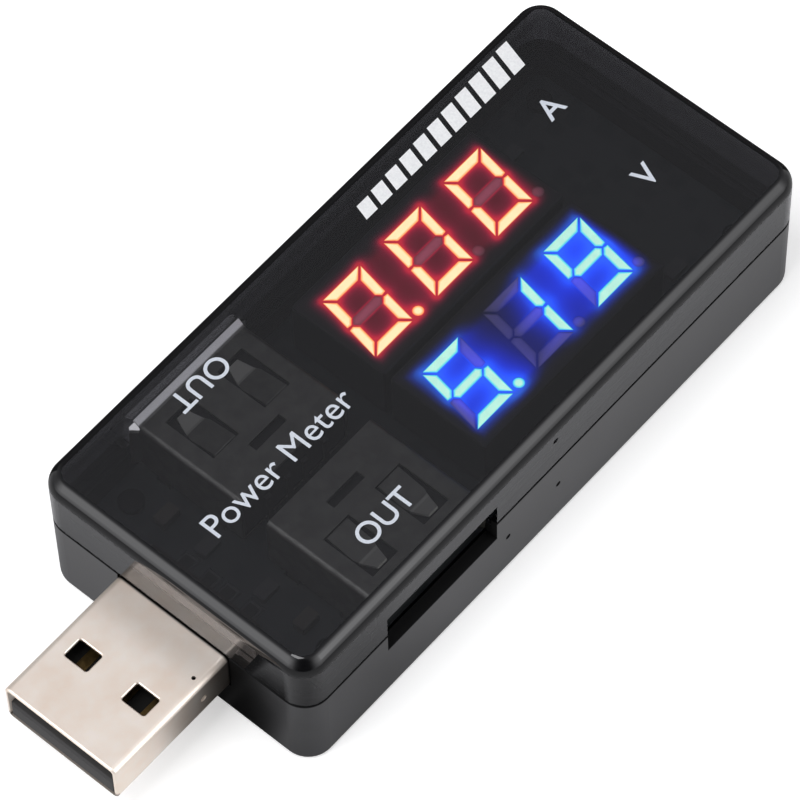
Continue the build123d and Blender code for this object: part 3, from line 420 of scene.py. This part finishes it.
def plug_metal():
    """Satin nickel plate: warm and finely grained, with painted shade towards the case, most of all down
    its sides. Painted glow lies on its top outside the case, on its sides by the tip and under the case's
    end wall; the foot of its mouth has painted shade, and further in it is painted dark."""
    material, tree = new_material("plug_metal")
    place = position_mm(tree)
    grain = noise(tree, place, 14.0, 2.0)
    patches = noise(tree, place, 0.5, 4.0)
    light = ramp(tree, patches, ((0.3, rgb(0.98, 0.84, 0.73)), (0.7, rgb(1.0, 0.91, 0.83))))
    along = axis(tree, place, "X")
    height = axis(tree, place, "Z")
    facing = axis(tree, add(tree, "NewGeometry").outputs["Normal"], "Z")
    case_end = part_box("lower_shell")[0].x / MM
    plug_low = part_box("plug_shell")[0] / MM
    is_side = fade(tree, math_node(tree, "ABSOLUTE", facing), 0.5, 0.1)
    is_top = fade(tree, facing, 0.5, 0.9)

    # How much of its brightness the plate keeps under its painted shade
    near_case = blend(tree, is_side, fade(tree, along, case_end - PLUG_TOP_SHADE_FROM, case_end),
                      fade(tree, along, case_end - PLUG_SIDE_SHADE_FROM, case_end))
    behind_wall = fade(tree, along, *(case_end + depth for depth in PLUG_BEHIND_WALL))
    in_hollow = fade(tree, along, *(case_end + depth for depth in PLUG_IN_DARK))
    at_mouth = fade(tree, along, *(plug_low.x + depth for depth in MOUTH_DEPTH))
    at_foot = fade(tree, height, *(plug_low.z + depth for depth in MOUTH_SHADE))
    from_joint = math_node(tree, "ABSOLUTE", math_node(tree, "SUBTRACT", along, case_end + PLUG_LINE[0]))
    off_joint = fade(tree, from_joint, *PLUG_LINE)
    shade = blend(tree, near_case, 1.0, remap(tree, is_side, PLUG_TOP_KEEPS, PLUG_SIDE_KEEPS))
    shade = blend(tree, behind_wall, shade, 1.0)
    shade = blend(tree, in_hollow, shade, PLUG_DARK_KEEPS)
    shade = math_node(tree, "MULTIPLY", shade, off_joint)
    shade = blend(tree, math_node(tree, "MULTIPLY", at_mouth, at_foot), shade, PLUG_SIDE_KEEPS)

    # The painted glow it gives off where it catches the light
    under_wall = math_node(tree, "SUBTRACT", behind_wall, in_hollow, clamp=True)
    side_by_tip = math_node(tree, "MULTIPLY", is_side, fade(tree, along, case_end - GLEAM_FROM, plug_low.x))
    top_outside = math_node(tree, "SUBTRACT", is_top, behind_wall, clamp=True)
    gleam = 0.0
    for where, strength in ((under_wall, WALL_GLEAM), (side_by_tip, SIDE_GLEAM), (top_outside, TOP_GLEAM)):
        gleam = math_node(tree, "ADD", gleam, math_node(tree, "MULTIPLY", where, strength))
    gleam = math_node(tree, "MULTIPLY", gleam, off_joint)
    shader = add(tree, "BsdfPrincipled", {
        "Base Color": scaled(tree, light, shade), "Metallic": 0.85,
        "Roughness": remap(tree, patches, 0.36, 0.46), "Normal": bump(tree, grain, 0.2, 0.02),
        "Emission Color": light, "Emission Strength": gleam})
    finish_material(tree, shader.outputs[0])
    return material


def plated_metal(name, colour, roughness, grain_mm=0.08):
    """Bright plated sheet metal with a fine rolled grain."""
    material, tree = new_material(name)
    place = position_mm(tree)
    grain = noise(tree, place, 1 / grain_mm, 2.0)
    patches = noise(tree, place, 0.7, 3.0)
    darker = rgb(*(c * 0.88 for c in colour))
    shader = add(tree, "BsdfPrincipled", {
        "Base Color": ramp(tree, patches, ((0.35, darker), (0.65, rgb(*colour)))), "Metallic": 1.0,
        "Roughness": remap(tree, patches, roughness * 0.85, roughness * 1.2),
        "Normal": bump(tree, grain, 0.15, 0.015)})
    finish_material(tree, shader.outputs[0])
    return material


def plug_contact_metal():
    """Gilt strips in the plug, painted dark as deep shade, their ends inside the case, where solder holds
    them, near-black as shade.
    """
    material, tree = new_material("plug_gilt")
    place = position_mm(tree)
    patches = noise(tree, place, 1.5, 3.0)
    case_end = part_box("lower_shell")[0].x / MM
    in_case_shade = fade(tree, axis(tree, place, "X"), case_end + CASE_WALL, case_end + 2 * CASE_WALL)
    gold = ramp(tree, patches, ((0.35, rgb(0.08, 0.052, 0.018)), (0.65, rgb(0.15, 0.10, 0.038))))
    shader = add(tree, "BsdfPrincipled", {
        "Base Color": blend_colours(tree, in_case_shade, gold, rgb(0.03, 0.03, 0.03)), "Metallic": 0.9,
        "Roughness": remap(tree, patches, 0.3, 0.42), "Normal": bump(tree, patches, 0.1, 0.02)})
    finish_material(tree, shader.outputs[0])
    return material


def socket_metal(name, bright_from, bright_height, bright, shine, gleam):
    """Dull, brownish tinned steel. Further from the middle than bright_from and above bright_height it has a
    painted highlight: on the socket's top lip, or the tip of a sprung tab. Gleam is that highlight's painted
    glow."""
    material, tree = new_material(name)
    place = position_mm(tree)
    patches = noise(tree, place, 0.8, 3.0)
    across = math_node(tree, "ABSOLUTE", axis(tree, place, "Y"))
    at_end = fade(tree, across, bright_from, bright_from + HIGHLIGHT_BLUR)
    is_high = math_node(tree, "GREATER_THAN", axis(tree, place, "Z"), bright_height)
    painted_highlight = math_node(tree, "MULTIPLY", at_end, is_high)
    dull = ramp(tree, patches, ((0.35, rgb(0.215, 0.215, 0.195)), (0.65, rgb(0.27, 0.27, 0.245))))
    shader = add(tree, "BsdfPrincipled", {
        "Base Color": blend_colours(tree, painted_highlight, dull, rgb(*bright)),
        "Metallic": remap(tree, painted_highlight, 0.9, shine), "Roughness": remap(tree, patches, 0.34, 0.44),
        "Normal": bump(tree, patches, 0.1, 0.02),
        "Emission Color": rgb(*bright), "Emission Strength": remap(tree, painted_highlight, 0.0, gleam)})
    finish_material(tree, shader.outputs[0])
    return material


def wafer_plastic():
    """The plug's wafer: matt dark grey at its nose and in deep shade further in."""
    material, tree = new_material("grey_insulator")
    place = position_mm(tree)
    grain = noise(tree, place, 7.0, 3.0)
    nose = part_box("plug_insulator")[0].x / MM
    in_shade = fade(tree, axis(tree, place, "X"), nose, nose + WAFER_SHADE_DEPTH)
    colour = ramp(tree, in_shade, ((0.0, rgb(0.055, 0.054, 0.055)), (1.0, rgb(0.010, 0.010, 0.010))))
    shader = add(tree, "BsdfPrincipled", {
        "Base Color": colour, "Roughness": remap(tree, grain, 0.8, 0.95), "Specular IOR Level": 0.2,
        "Normal": bump(tree, grain, 0.2, 0.02)})
    finish_material(tree, shader.outputs[0])
    return material


# ---- materials: plastics and board --------------------------------------------------------------

def moulded_plastic(name, colour, roughness):
    material, tree = new_material(name)
    place = position_mm(tree)
    grain = noise(tree, place, 7.0, 3.0)
    lighter = rgb(*(c * 1.25 for c in colour))
    shader = add(tree, "BsdfPrincipled", {
        "Base Color": ramp(tree, grain, ((0.35, rgb(*colour)), (0.65, lighter))),
        "Roughness": remap(tree, grain, roughness * 0.9, roughness * 1.1),
        "Normal": bump(tree, grain, 0.2, 0.02)})
    finish_material(tree, shader.outputs[0])
    return material


def board_mask():
    """Black solder mask over copper tracks, which raise it slightly."""
    material, tree = new_material("board_mask")
    place = position_mm(tree)
    tracks = add(tree, "TexVoronoi", {"Vector": place, "Scale": 0.45}, distance="CHEBYCHEV")
    from_track = {"Value": tracks.outputs["Distance"], "From Min": 0.30, "From Max": 0.36}
    edge = add(tree, "MapRange", from_track).outputs[0]
    colour = ramp(tree, edge, ((0.0, rgb(0.010, 0.014, 0.016)), (1.0, rgb(0.018, 0.022, 0.024))))
    shader = add(tree, "BsdfPrincipled", {
        "Base Color": colour, "Roughness": 0.38, "Normal": bump(tree, edge, 0.3, 0.03)})
    finish_material(tree, shader.outputs[0])
    return material


def printed_ink(name, thin, thick):
    """Screen-printed ink, slightly uneven, between its thinnest and thickest colours."""
    material, tree = new_material(name)
    place = position_mm(tree)
    uneven = noise(tree, place, 5.0, 4.0)
    colour = ramp(tree, uneven, ((0.3, rgb(*thin)), (0.7, rgb(*thick))))
    shader = add(tree, "BsdfPrincipled", {
        "Base Color": colour, "Roughness": 0.45, "Normal": bump(tree, uneven, 0.1, 0.01)})
    finish_material(tree, shader.outputs[0])
    return material


# ---- materials: readouts ------------------------------------------------------------------------

def glowing_bar(name, edge, middle, core, strength):
    """A lit light pipe: saturated at its rim and nearly white in the middle."""
    material, tree = new_material(name)
    depth = add(tree, "Attribute", attribute_name="core").outputs["Fac"]
    place = position_mm(tree)
    mottled = remap(tree, noise(tree, place, 1.2, 3.0), 0.9, 1.1)
    colour = ramp(tree, depth, ((0.0, rgb(*edge)), (0.4, rgb(*middle)), (1.0, rgb(*core))))
    power = math_node(tree, "MULTIPLY", mottled, strength)
    shader = add(tree, "Emission", {"Color": colour, "Strength": power})
    finish_material(tree, shader.outputs[0])
    return material


def flooded(tree, colour, flood_colour):
    """A colour with the readout's flood of light added to it."""
    flood = add(tree, "Attribute", attribute_name="flood").outputs["Fac"]
    spread = scaled(tree, flood_colour, flood)
    return add(tree, "VectorMath", {0: colour, 1: spread}, operation="ADD").outputs[0]


def resting_bar(name, colour, flood_colour):
    """An unlit light pipe: milky resin that takes a little light from its lit neighbours, most in its
    middle."""
    material, tree = new_material(name)
    depth = add(tree, "Attribute", attribute_name="core").outputs["Fac"]
    spill = add(tree, "Attribute", attribute_name="glow").outputs["Fac"]
    place = position_mm(tree)
    mottled = remap(tree, noise(tree, place, 1.5, 3.0), 0.8, 1.2)
    in_middle = remap(tree, depth, 0.35, 1.0)
    share = remap(tree, spill, 0.45, 1.5)
    power = math_node(tree, "MULTIPLY", math_node(tree, "MULTIPLY", in_middle, share), mottled)
    own = scaled(tree, colour, power)
    shader = add(tree, "BsdfPrincipled", {
        "Base Color": rgb(0.05, 0.045, 0.05), "Roughness": 0.5,
        "Emission Color": flooded(tree, own, flood_colour), "Emission Strength": 1.0})
    finish_material(tree, shader.outputs[0])
    return material


def glowing_face(name, stops, flood_colour):
    """The readout's dark printed face, washed by the glow that its lit bars throw on it."""
    material, tree = new_material(name)
    glow = add(tree, "Attribute", attribute_name="glow").outputs["Fac"]
    place = position_mm(tree)
    grain = noise(tree, place, 6.0, 3.0)
    washed = ramp(tree, glow, rgb_stops(stops))
    shader = add(tree, "BsdfPrincipled", {
        "Base Color": rgb(0.012, 0.010, 0.014), "Roughness": 0.5,
        "Emission Color": flooded(tree, washed, flood_colour), "Emission Strength": 1.0,
        "Normal": bump(tree, grain, 0.15, 0.02)})
    finish_material(tree, shader.outputs[0])
    return material


# ---- readouts -----------------------------------------------------------------------------------

def top_outlines(node):
    """The outline of each flat top of a node's solids, as lists of (x, y), with their height."""
    bm = bmesh.new()
    bm.from_mesh(NODES[node].data)
    bmesh.ops.remove_doubles(bm, verts=bm.verts, dist=SAME_POINT)
    bmesh.ops.recalc_face_normals(bm, faces=bm.faces)
    not_top = [face for face in bm.faces if face.normal.z < FLAT_TOP]
    bmesh.ops.delete(bm, geom=not_top, context="FACES")
    height = max(vert.co.z for vert in bm.verts)
    follows = {}
    for edge in bm.edges:
        if edge.is_boundary:
            loop = edge.link_loops[0]
            follows[loop.vert.index] = loop.link_loop_next.vert.index
    bm.verts.ensure_lookup_table()
    outlines = []
    while follows:
        start, here = next(iter(follows.items()))
        del follows[start]
        points = [start]
        while here != start:
            points.append(here)
            here = follows.pop(here)
        outlines.append([(bm.verts[i].co.x, bm.verts[i].co.y) for i in points])
    bm.free()
    return outlines, height


def outline_distance(points, outline):
    """Distance in metres from each point to an outline's edge, negative inside it."""
    nearest = np.full(len(points), 1e9)
    inside = np.zeros(len(points), bool)
    ring = np.array(outline)
    for a, b in zip(ring, np.roll(ring, -1, axis=0)):
        along = b - a
        share = np.clip(((points - a) @ along) / (along @ along), 0, 1)
        nearest = np.minimum(nearest, np.linalg.norm(points - a - share[:, None] * along, axis=1))
        if a[1] != b[1]:
            crosses = (a[1] > points[:, 1]) != (b[1] > points[:, 1])
            x_there = a[0] + (points[:, 1] - a[1]) * along[0] / along[1]
            inside ^= crosses & (points[:, 0] < x_there)
    return np.where(inside, -nearest, nearest)


def summed_light(away, reach):
    """What all the lit bars throw on each point: each adds its part, which falls to a third over reach, and
    the sum is held under 1."""
    return 1 - np.exp(-sum(np.exp(-one / reach) for one in away))


def store_on_points(mesh, name, values):
    attribute = mesh.attributes.new(name, "FLOAT", "POINT")
    attribute.data.foreach_set("value", values.astype(np.float32))


def set_glow(piece, lit, field, reach, fade_width=0.0):
    """Stores on each vertex the close glow of the lit bars, and the flood of light that the readout's body
    spreads inside the digits' field. The glow fades out over fade_width at the piece's edge."""
    flat = np.array([(vert.co.x, vert.co.y) for vert in piece.data.vertices])
    away = [np.maximum(outline_distance(flat, outline), 0) for outline in lit]
    glow = summed_light(away, reach)
    outside = np.clip(outline_distance(flat, field) / FLOOD_FADE + 0.5, 0, 1)
    flood = summed_light(away, FLOOD_REACH) ** FLOOD_POWER * (1 - outside) ** 2
    if fade_width:
        from_edge = np.minimum(flat - flat.min(axis=0), flat.max(axis=0) - flat).min(axis=1)
        share = np.clip(from_edge / fade_width, 0, 1)
        glow *= share * share * (3 - 2 * share)
    store_on_points(piece.data, "glow", glow)
    store_on_points(piece.data, "flood", flood)


def bar_pieces(name, node, material, lit, field, reach):
    """Replaces a node's bars with pillowed ones whose rims and cores can be told apart."""
    outlines, height = top_outlines(node)
    bm = bmesh.new()
    core = bm.verts.layers.float.new("core")
    for outline in outlines:
        rim = [bm.verts.new((x, y, height)) for x, y in outline]
        face = bm.faces.new(rim)
        face.normal_update()
        if face.normal.z < 0:
            face.normal_flip()
        base = [bm.verts.new((v.co.x, v.co.y, height - BAR_DEPTH)) for v in rim]
        for i in range(len(rim)):
            j = (i + 1) % len(rim)
            bm.faces.new((rim[i], base[i], base[j], rim[j]))
        bm.faces.new(list(reversed(base)))
        for inset, lift, value in BAR_STEPS:
            bmesh.ops.inset_individual(bm, faces=[face], thickness=inset, depth=lift)
            for vert in face.verts:
                vert[core] = value
    bmesh.ops.recalc_face_normals(bm, faces=bm.faces)
    bars = mesh_object(name, bm, material)
    set_glow(bars, lit, field, reach)
    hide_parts(node)
    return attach(bars, BODY)


def display_face(colour, material, lit, unlit, field, reach):
    """The printed face round the bars: a fine sheet with a hole for each bar."""
    low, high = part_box(colour + "_display_body")
    x0, x1 = low.x + FILM_MARGIN, high.x - FILM_MARGIN
    y0, y1 = low.y + FILM_MARGIN, high.y - FILM_MARGIN
    xs = np.linspace(x0, x1, round((x1 - x0) / GLOW_GRID))
    ys = np.linspace(y0, y1, round((y1 - y0) / GLOW_GRID))
    grid = np.array([(x, y) for x in xs for y in ys])
    clear = np.full(len(grid), 1e9)
    for outline in lit + unlit:
        clear = np.minimum(clear, np.abs(outline_distance(grid, outline)))
    points = [Vector(p) for p in grid[clear > GLOW_GRID * 0.3]]
    edges = []
    for outline in lit + unlit:
        first = len(points)
        points += [Vector(p) for p in outline]
        edges += [(first + i, first + (i + 1) % len(outline)) for i in range(len(outline))]
    verts, _, faces, _, _, _ = delaunay_2d_cdt(points, edges, [], 0, SAME_POINT)
    flat = np.array([(v.x, v.y) for v in verts])
    centres = np.array([flat[list(face)].mean(axis=0) for face in faces])
    in_bar = np.zeros(len(faces), bool)
    for outline in lit + unlit:
        in_bar |= outline_distance(centres, outline) < 0
    bm = bmesh.new()
    for x, y in flat:
        bm.verts.new((x, y, high.z + FILM_LIFT))
    bm.verts.ensure_lookup_table()
    for face, hole in zip(faces, in_bar):
        if not hole:
            bm.faces.new([bm.verts[i] for i in face])
    bmesh.ops.recalc_face_normals(bm, faces=bm.faces)
    if sum(face.normal.z for face in bm.faces) < 0:
        bmesh.ops.reverse_faces(bm, faces=bm.faces)
    sheet = mesh_object(colour + "_display_face", bm, material)
    set_glow(sheet, lit, field, reach, FACE_FADE)
    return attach(sheet, BODY)


def build_readout(colour, lit_colours, radiance, resting_colour, flood_colour, reach, face_stops):
    lit, _ = top_outlines(colour + "_lit_segments")
    unlit, _ = top_outlines(colour + "_unlit_segments")
    corners = [Vector(point) for outline in lit + unlit for point in outline]
    field = [tuple(corners[i]) for i in convex_hull_2d(corners)]
    glowing = glowing_bar(colour + "_glow", *lit_colours, radiance)
    resting = resting_bar(colour + "_resting", resting_colour, flood_colour)
    bar_pieces(colour + "_lit_bars", colour + "_lit_segments", glowing, lit, field, reach)
    bar_pieces(colour + "_unlit_bars", colour + "_unlit_segments", resting, lit, field, reach)
    face = glowing_face(colour + "_face", face_stops, flood_colour)
    display_face(colour, face, lit, unlit, field, reach)


def build_readouts():
    for colour, look in READOUTS.items():
        build_readout(colour, **look)


# ---- printed legends ----------------------------------------------------------------------------

def hide_from_reflections(piece):
    """Keeps thin print from doubling in the roof's inner face and on the board."""
    piece.visible_shadow = False
    piece.visible_glossy = False


def legend(name, text, size_mm, place_mm, turn, bold_mm, material):
    """Raised print on the top face, centred on its place."""
    curve = bpy.data.curves.new(name, "FONT")
    curve.body = text
    curve.size = size_mm * MM
    curve.align_x = "CENTER"
    curve.align_y = "CENTER"
    curve.offset = bold_mm * MM
    curve.extrude = PRINT_LIFT
    curve.materials.append(material)
    piece = bpy.data.objects.new(name, curve)
    bpy.context.scene.collection.objects.link(piece)
    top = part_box("upper_shell")[1].z
    piece.location = (place_mm[0] * MM, place_mm[1] * MM, top + PRINT_LIFT)
    piece.rotation_euler = (0, 0, turn)
    hide_from_reflections(piece)
    bpy.context.view_layer.update()
    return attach(piece, BODY)


def level_bars(material):
    """A plain row of slanted bars that grow along the edge, as on a level meter."""
    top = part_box("upper_shell")[1].z
    bottom_face, top_face = (top + lift for lift in LEVEL_BAR_LIFTS)
    (start_x, end_x), low_y = LEVEL_BARS_X, LEVEL_BARS_Y
    shortest, tallest = LEVEL_BAR_HEIGHTS
    pitch = (end_x - start_x) / LEVEL_BARS
    width = LEVEL_BAR_FILL * pitch
    bm = bmesh.new()
    for i in range(LEVEL_BARS):
        left = start_x + i * pitch
        right = left + width
        height = shortest + (tallest - shortest) * i / (LEVEL_BARS - 1)
        lean = LEVEL_BAR_SLANT * height
        high_y = low_y + height
        corners = [(left, low_y), (right, low_y), (right + lean, high_y), (left + lean, high_y)]
        lower = [bm.verts.new((cx, cy, bottom_face)) for cx, cy in corners]
        upper = [bm.verts.new((cx, cy, top_face)) for cx, cy in corners]
        bm.faces.new(upper)
        bm.faces.new(list(reversed(lower)))
        for a in range(4):
            b = (a + 1) % 4
            bm.faces.new((lower[a], lower[b], upper[b], upper[a]))
    bars = mesh_object("print_level_bars", bm, material)
    hide_from_reflections(bars)
    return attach(bars, BODY)


def build_legends():
    ink = printed_ink("pale_ink", (0.56, 0.60, 0.67), (0.66, 0.70, 0.77))
    for each in LEGENDS:
        legend(*each, ink)
    level_bars(printed_ink("white_ink", (0.74, 0.75, 0.77), (0.86, 0.87, 0.88)))


# ---- dressing the CAD nodes ---------------------------------------------------------------------

def dress_all():
    dress("upper_shell", smoked_plastic())
    dress("lower_shell", dark_case_plastic())
    dress("circuit_board", board_mask())
    dress("plug_shell", plug_metal())
    dress("plug_insulator", wafer_plastic())
    gilt = plated_metal("gilt", (0.75, 0.52, 0.18), 0.3)
    tin = plated_metal("tin", (0.75, 0.75, 0.76), 0.3)
    # Painted shade: the sockets' tails are near-black for the shade they lie in.
    shaded_tin = plated_metal("shaded_tin", (0.07, 0.07, 0.068), 0.5)
    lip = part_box("left_port_shell")[1] / MM
    tip_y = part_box("left_port_latch_springs")[1].y / MM
    # Painted highlights on the sockets' top lips, which also give off a painted glow, and on the tips of the
    # sprung tabs.
    lip_highlight, tab_highlight = (0.95, 0.95, 0.96), (0.42, 0.42, 0.38)
    socket = socket_metal("socket_metal", lip.y - LIP_DEPTH, lip.z - LIP_HEIGHT, lip_highlight, 0.15, 0.36)
    spring = socket_metal("spring_metal", tip_y - TAB_TIP, 0.0, tab_highlight, 0.4, 0.0)
    black = moulded_plastic("black_insulator", (0.012, 0.012, 0.013), 0.5)
    chip = moulded_plastic("chip_epoxy", (0.035, 0.035, 0.037), 0.6)
    dress("plug_contacts", plug_contact_metal())
    for side in ("left", "right"):
        dress(side + "_port_shell", socket)
        dress(side + "_port_latch_springs", spring)
        dress(side + "_port_tongue", black)
        dress(side + "_port_contacts", gilt)
        dress(side + "_port_tails", shaded_tin)
    for colour in ("red", "blue"):
        dress(colour + "_display_body", black)
        dress(colour + "_display_pins", tin)
    for node in ("controller_chip", "voltage_regulator", "shunt_resistor", "chip_resistors"):
        dress(node, chip)
    for node in ("controller_legs", "regulator_legs"):
        dress(node, tin)
    # Painted shade: the solder joints are near-black for the shade they lie in.
    dress("solder_joints", moulded_plastic("shaded_solder", (0.035, 0.035, 0.037), 0.5))
    dress("input_capacitor", moulded_plastic("capacitor_ochre", (0.16, 0.10, 0.035), 0.5))
    dress("ceramic_capacitors", moulded_plastic("capacitor_brown", (0.045, 0.038, 0.032), 0.55))


# ---- stage --------------------------------------------------------------------------------------

def dark_patch(tree, place, low, high, blur):
    """1 between two corners on the floor, down to 0 at blur beyond them."""
    centre = ((low[0] + high[0]) / 2, (low[1] + high[1]) / 2, 0)
    half = ((high[0] - low[0]) / 2, (high[1] - low[1]) / 2)
    shifted = add(tree, "VectorMath", {0: place, 1: centre}, operation="SUBTRACT").outputs[0]
    return fade(tree, beyond_box(tree, shifted, *half), blur, 0.0)


def round_the_plug(tree, place):
    """The floor's shaded stretches: under the plug, the nook between its right side and the case, and
    the ground before the case's near corner."""
    case_end, case_side = (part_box("lower_shell")[0][i] / MM for i in range(2))
    low, high = (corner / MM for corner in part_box("plug_shell"))
    inset = 1.5
    under = dark_patch(tree, place, (low.x + inset, low.y + inset), (case_end, high.y - inset), 2.0)
    nook = dark_patch(tree, place, (case_end - 3.0, low.y - 2.5), (case_end, low.y), 4.0)
    corner = dark_patch(tree, place, (case_end - 2.0, case_side - 2.0), (case_end + 10.0, case_side), 10.0)
    corner = math_node(tree, "MULTIPLY", corner, CORNER_SHADE)
    return math_node(tree, "MAXIMUM", math_node(tree, "MAXIMUM", under, nook), corner)


def floor():
    """A white sheet. What the polished case mirrors of it is pale close by and dark further off, as
    black flags just outside the picture would make it."""
    material, tree = new_material("floor_white")
    place = position_mm(tree)
    ray = add(tree, "LightPath")
    white = add(tree, "BsdfDiffuse", {"Color": rgb(0.82, 0.82, 0.82)})
    lift = add(tree, "Emission", {"Color": rgb(1, 1, 1), "Strength": FLOOR_LIFT})
    seen = add(tree, "AddShader", {0: white.outputs[0], 1: lift.outputs[0]})
    case_low, case_high = (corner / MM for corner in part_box("lower_shell"))
    away = beyond_box(tree, place, case_high.x, case_high.y)
    share = add(tree, "MapRange", {"Value": away, "From Min": 0.0, "From Max": MIRRORED_REACH}).outputs[0]
    near = ramp(tree, share, rgb_stops(MIRRORED_NEAR))
    far = ramp(tree, share, rgb_stops(MIRRORED_FAR))
    past_end = math_node(tree, "SUBTRACT", case_low.x, axis(tree, place, "X"))
    past_side = math_node(tree, "SUBTRACT", case_low.y, axis(tree, place, "Y"))
    on_near_side = fade(tree, math_node(tree, "MAXIMUM", past_end, past_side), -NEAR_SIDE_BLUR, 0.0)
    mirrored = blend_colours(tree, on_near_side, far, near)
    shaded = math_node(tree, "MULTIPLY", round_the_plug(tree, place), PLUG_SHADE)
    mirrored = blend_colours(tree, shaded, mirrored, rgb(0.01, 0.01, 0.01))
    image = add(tree, "Emission", {"Color": mirrored})
    is_mirrored = ray.outputs["Is Glossy Ray"]
    shader = add(tree, "MixShader", {0: is_mirrored, 1: seen.outputs[0], 2: image.outputs[0]})
    finish_material(tree, shader.outputs[0])
    bm = bmesh.new()
    bmesh.ops.create_grid(bm, x_segments=1, y_segments=1, size=FLOOR_HALF_SIZE)
    mesh_object("floor", bm, material)


def key_light():
    """A soft box that faces the object from a direction given like the camera's."""
    back = toward(*KEY_DIRECTION)
    light = bpy.data.lights.new("key", "AREA")
    light.shape = "RECTANGLE"
    light.size = light.size_y = KEY_SIZE
    light.energy = KEY_RADIANCE * math.pi * light.size * light.size_y
    lamp = bpy.data.objects.new("key", light)
    bpy.context.scene.collection.objects.link(lamp)
    lamp.location = back * KEY_DISTANCE
    lamp.rotation_euler = (-back).to_track_quat("-Z", "Y").to_euler()


def toward(azimuth, elevation):
    a, e = math.radians(azimuth), math.radians(elevation)
    return Vector((math.sin(a) * math.cos(e), -math.cos(a) * math.cos(e), math.sin(e)))


def closeness(tree, direction, azimuth, elevation):
    """1 where a direction is the given one, down to -1 where it's opposite."""
    inputs = {0: direction, 1: tuple(toward(azimuth, elevation))}
    return add(tree, "VectorMath", inputs, operation="DOT_PRODUCT").outputs["Value"]


def soft_glow(tree, direction, azimuth, elevation, spread, radiance):
    """A soft box on the dome with no hard edge: its brightness falls off smoothly from its middle."""
    short = math_node(tree, "SUBTRACT", 1.0, closeness(tree, direction, azimuth, elevation))
    power = math_node(tree, "DIVIDE", short, -spread)
    return math_node(tree, "MULTIPLY", math_node(tree, "EXPONENT", power), radiance)


def world_light():
    """A studio dome: dim all round, with a soft box to each side, the dark of the room behind the camera and
    a black flag low down across from it."""
    world = bpy.data.worlds.new("studio")
    world.use_nodes = True
    tree = world.node_tree
    tree.nodes.clear()
    direction = add(tree, "TexCoord").outputs["Generated"]
    level = math_node(tree, "ABSOLUTE", axis(tree, direction, "Z"))
    base = ramp(tree, level, rgb_stops(DOME))
    dark = fade(tree, closeness(tree, direction, CAMERA_AZIMUTH, 25), 0.72, 0.93)
    far = fade(tree, closeness(tree, direction, CAMERA_AZIMUTH + 180, 5), 0.55, 0.9)
    kept = math_node(tree, "MULTIPLY", remap(tree, dark, 1.0, 0.06), remap(tree, far, 1.0, 0.25))
    glow = 0.0
    for soft_box in SOFT_BOXES:
        glow = math_node(tree, "ADD", glow, soft_glow(tree, direction, *soft_box))
    total = add(tree, "VectorMath", {0: scaled(tree, base, kept), 1: glow}, operation="ADD").outputs[0]
    background = add(tree, "Background", {"Color": total, "Strength": 1.0})
    output = tree.nodes.new("ShaderNodeOutputWorld")
    tree.links.new(background.outputs[0], output.inputs["Surface"])
    bpy.context.scene.world = world


def camera():
    back = toward(CAMERA_AZIMUTH, CAMERA_ELEVATION)
    data = bpy.data.cameras.new("camera")
    data.lens = CAMERA_LENS
    data.sensor_width = 36
    data.clip_start = 0.01
    eye = bpy.data.objects.new("camera", data)
    bpy.context.scene.collection.objects.link(eye)
    eye.location = Vector(CAMERA_TARGET) + back * CAMERA_DISTANCE
    look = (-back).to_track_quat("-Z", "Y").to_matrix().to_4x4()
    eye.rotation_euler = (look @ Matrix.Rotation(math.radians(CAMERA_ROLL), 4, "Z")).to_euler()
    bpy.context.scene.camera = eye


def build_stage():
    floor()
    world_light()
    key_light()
    camera()
    bpy.context.scene.view_settings.view_transform = "Standard"


dress_all()
build_readouts()
build_legends()
build_stage()
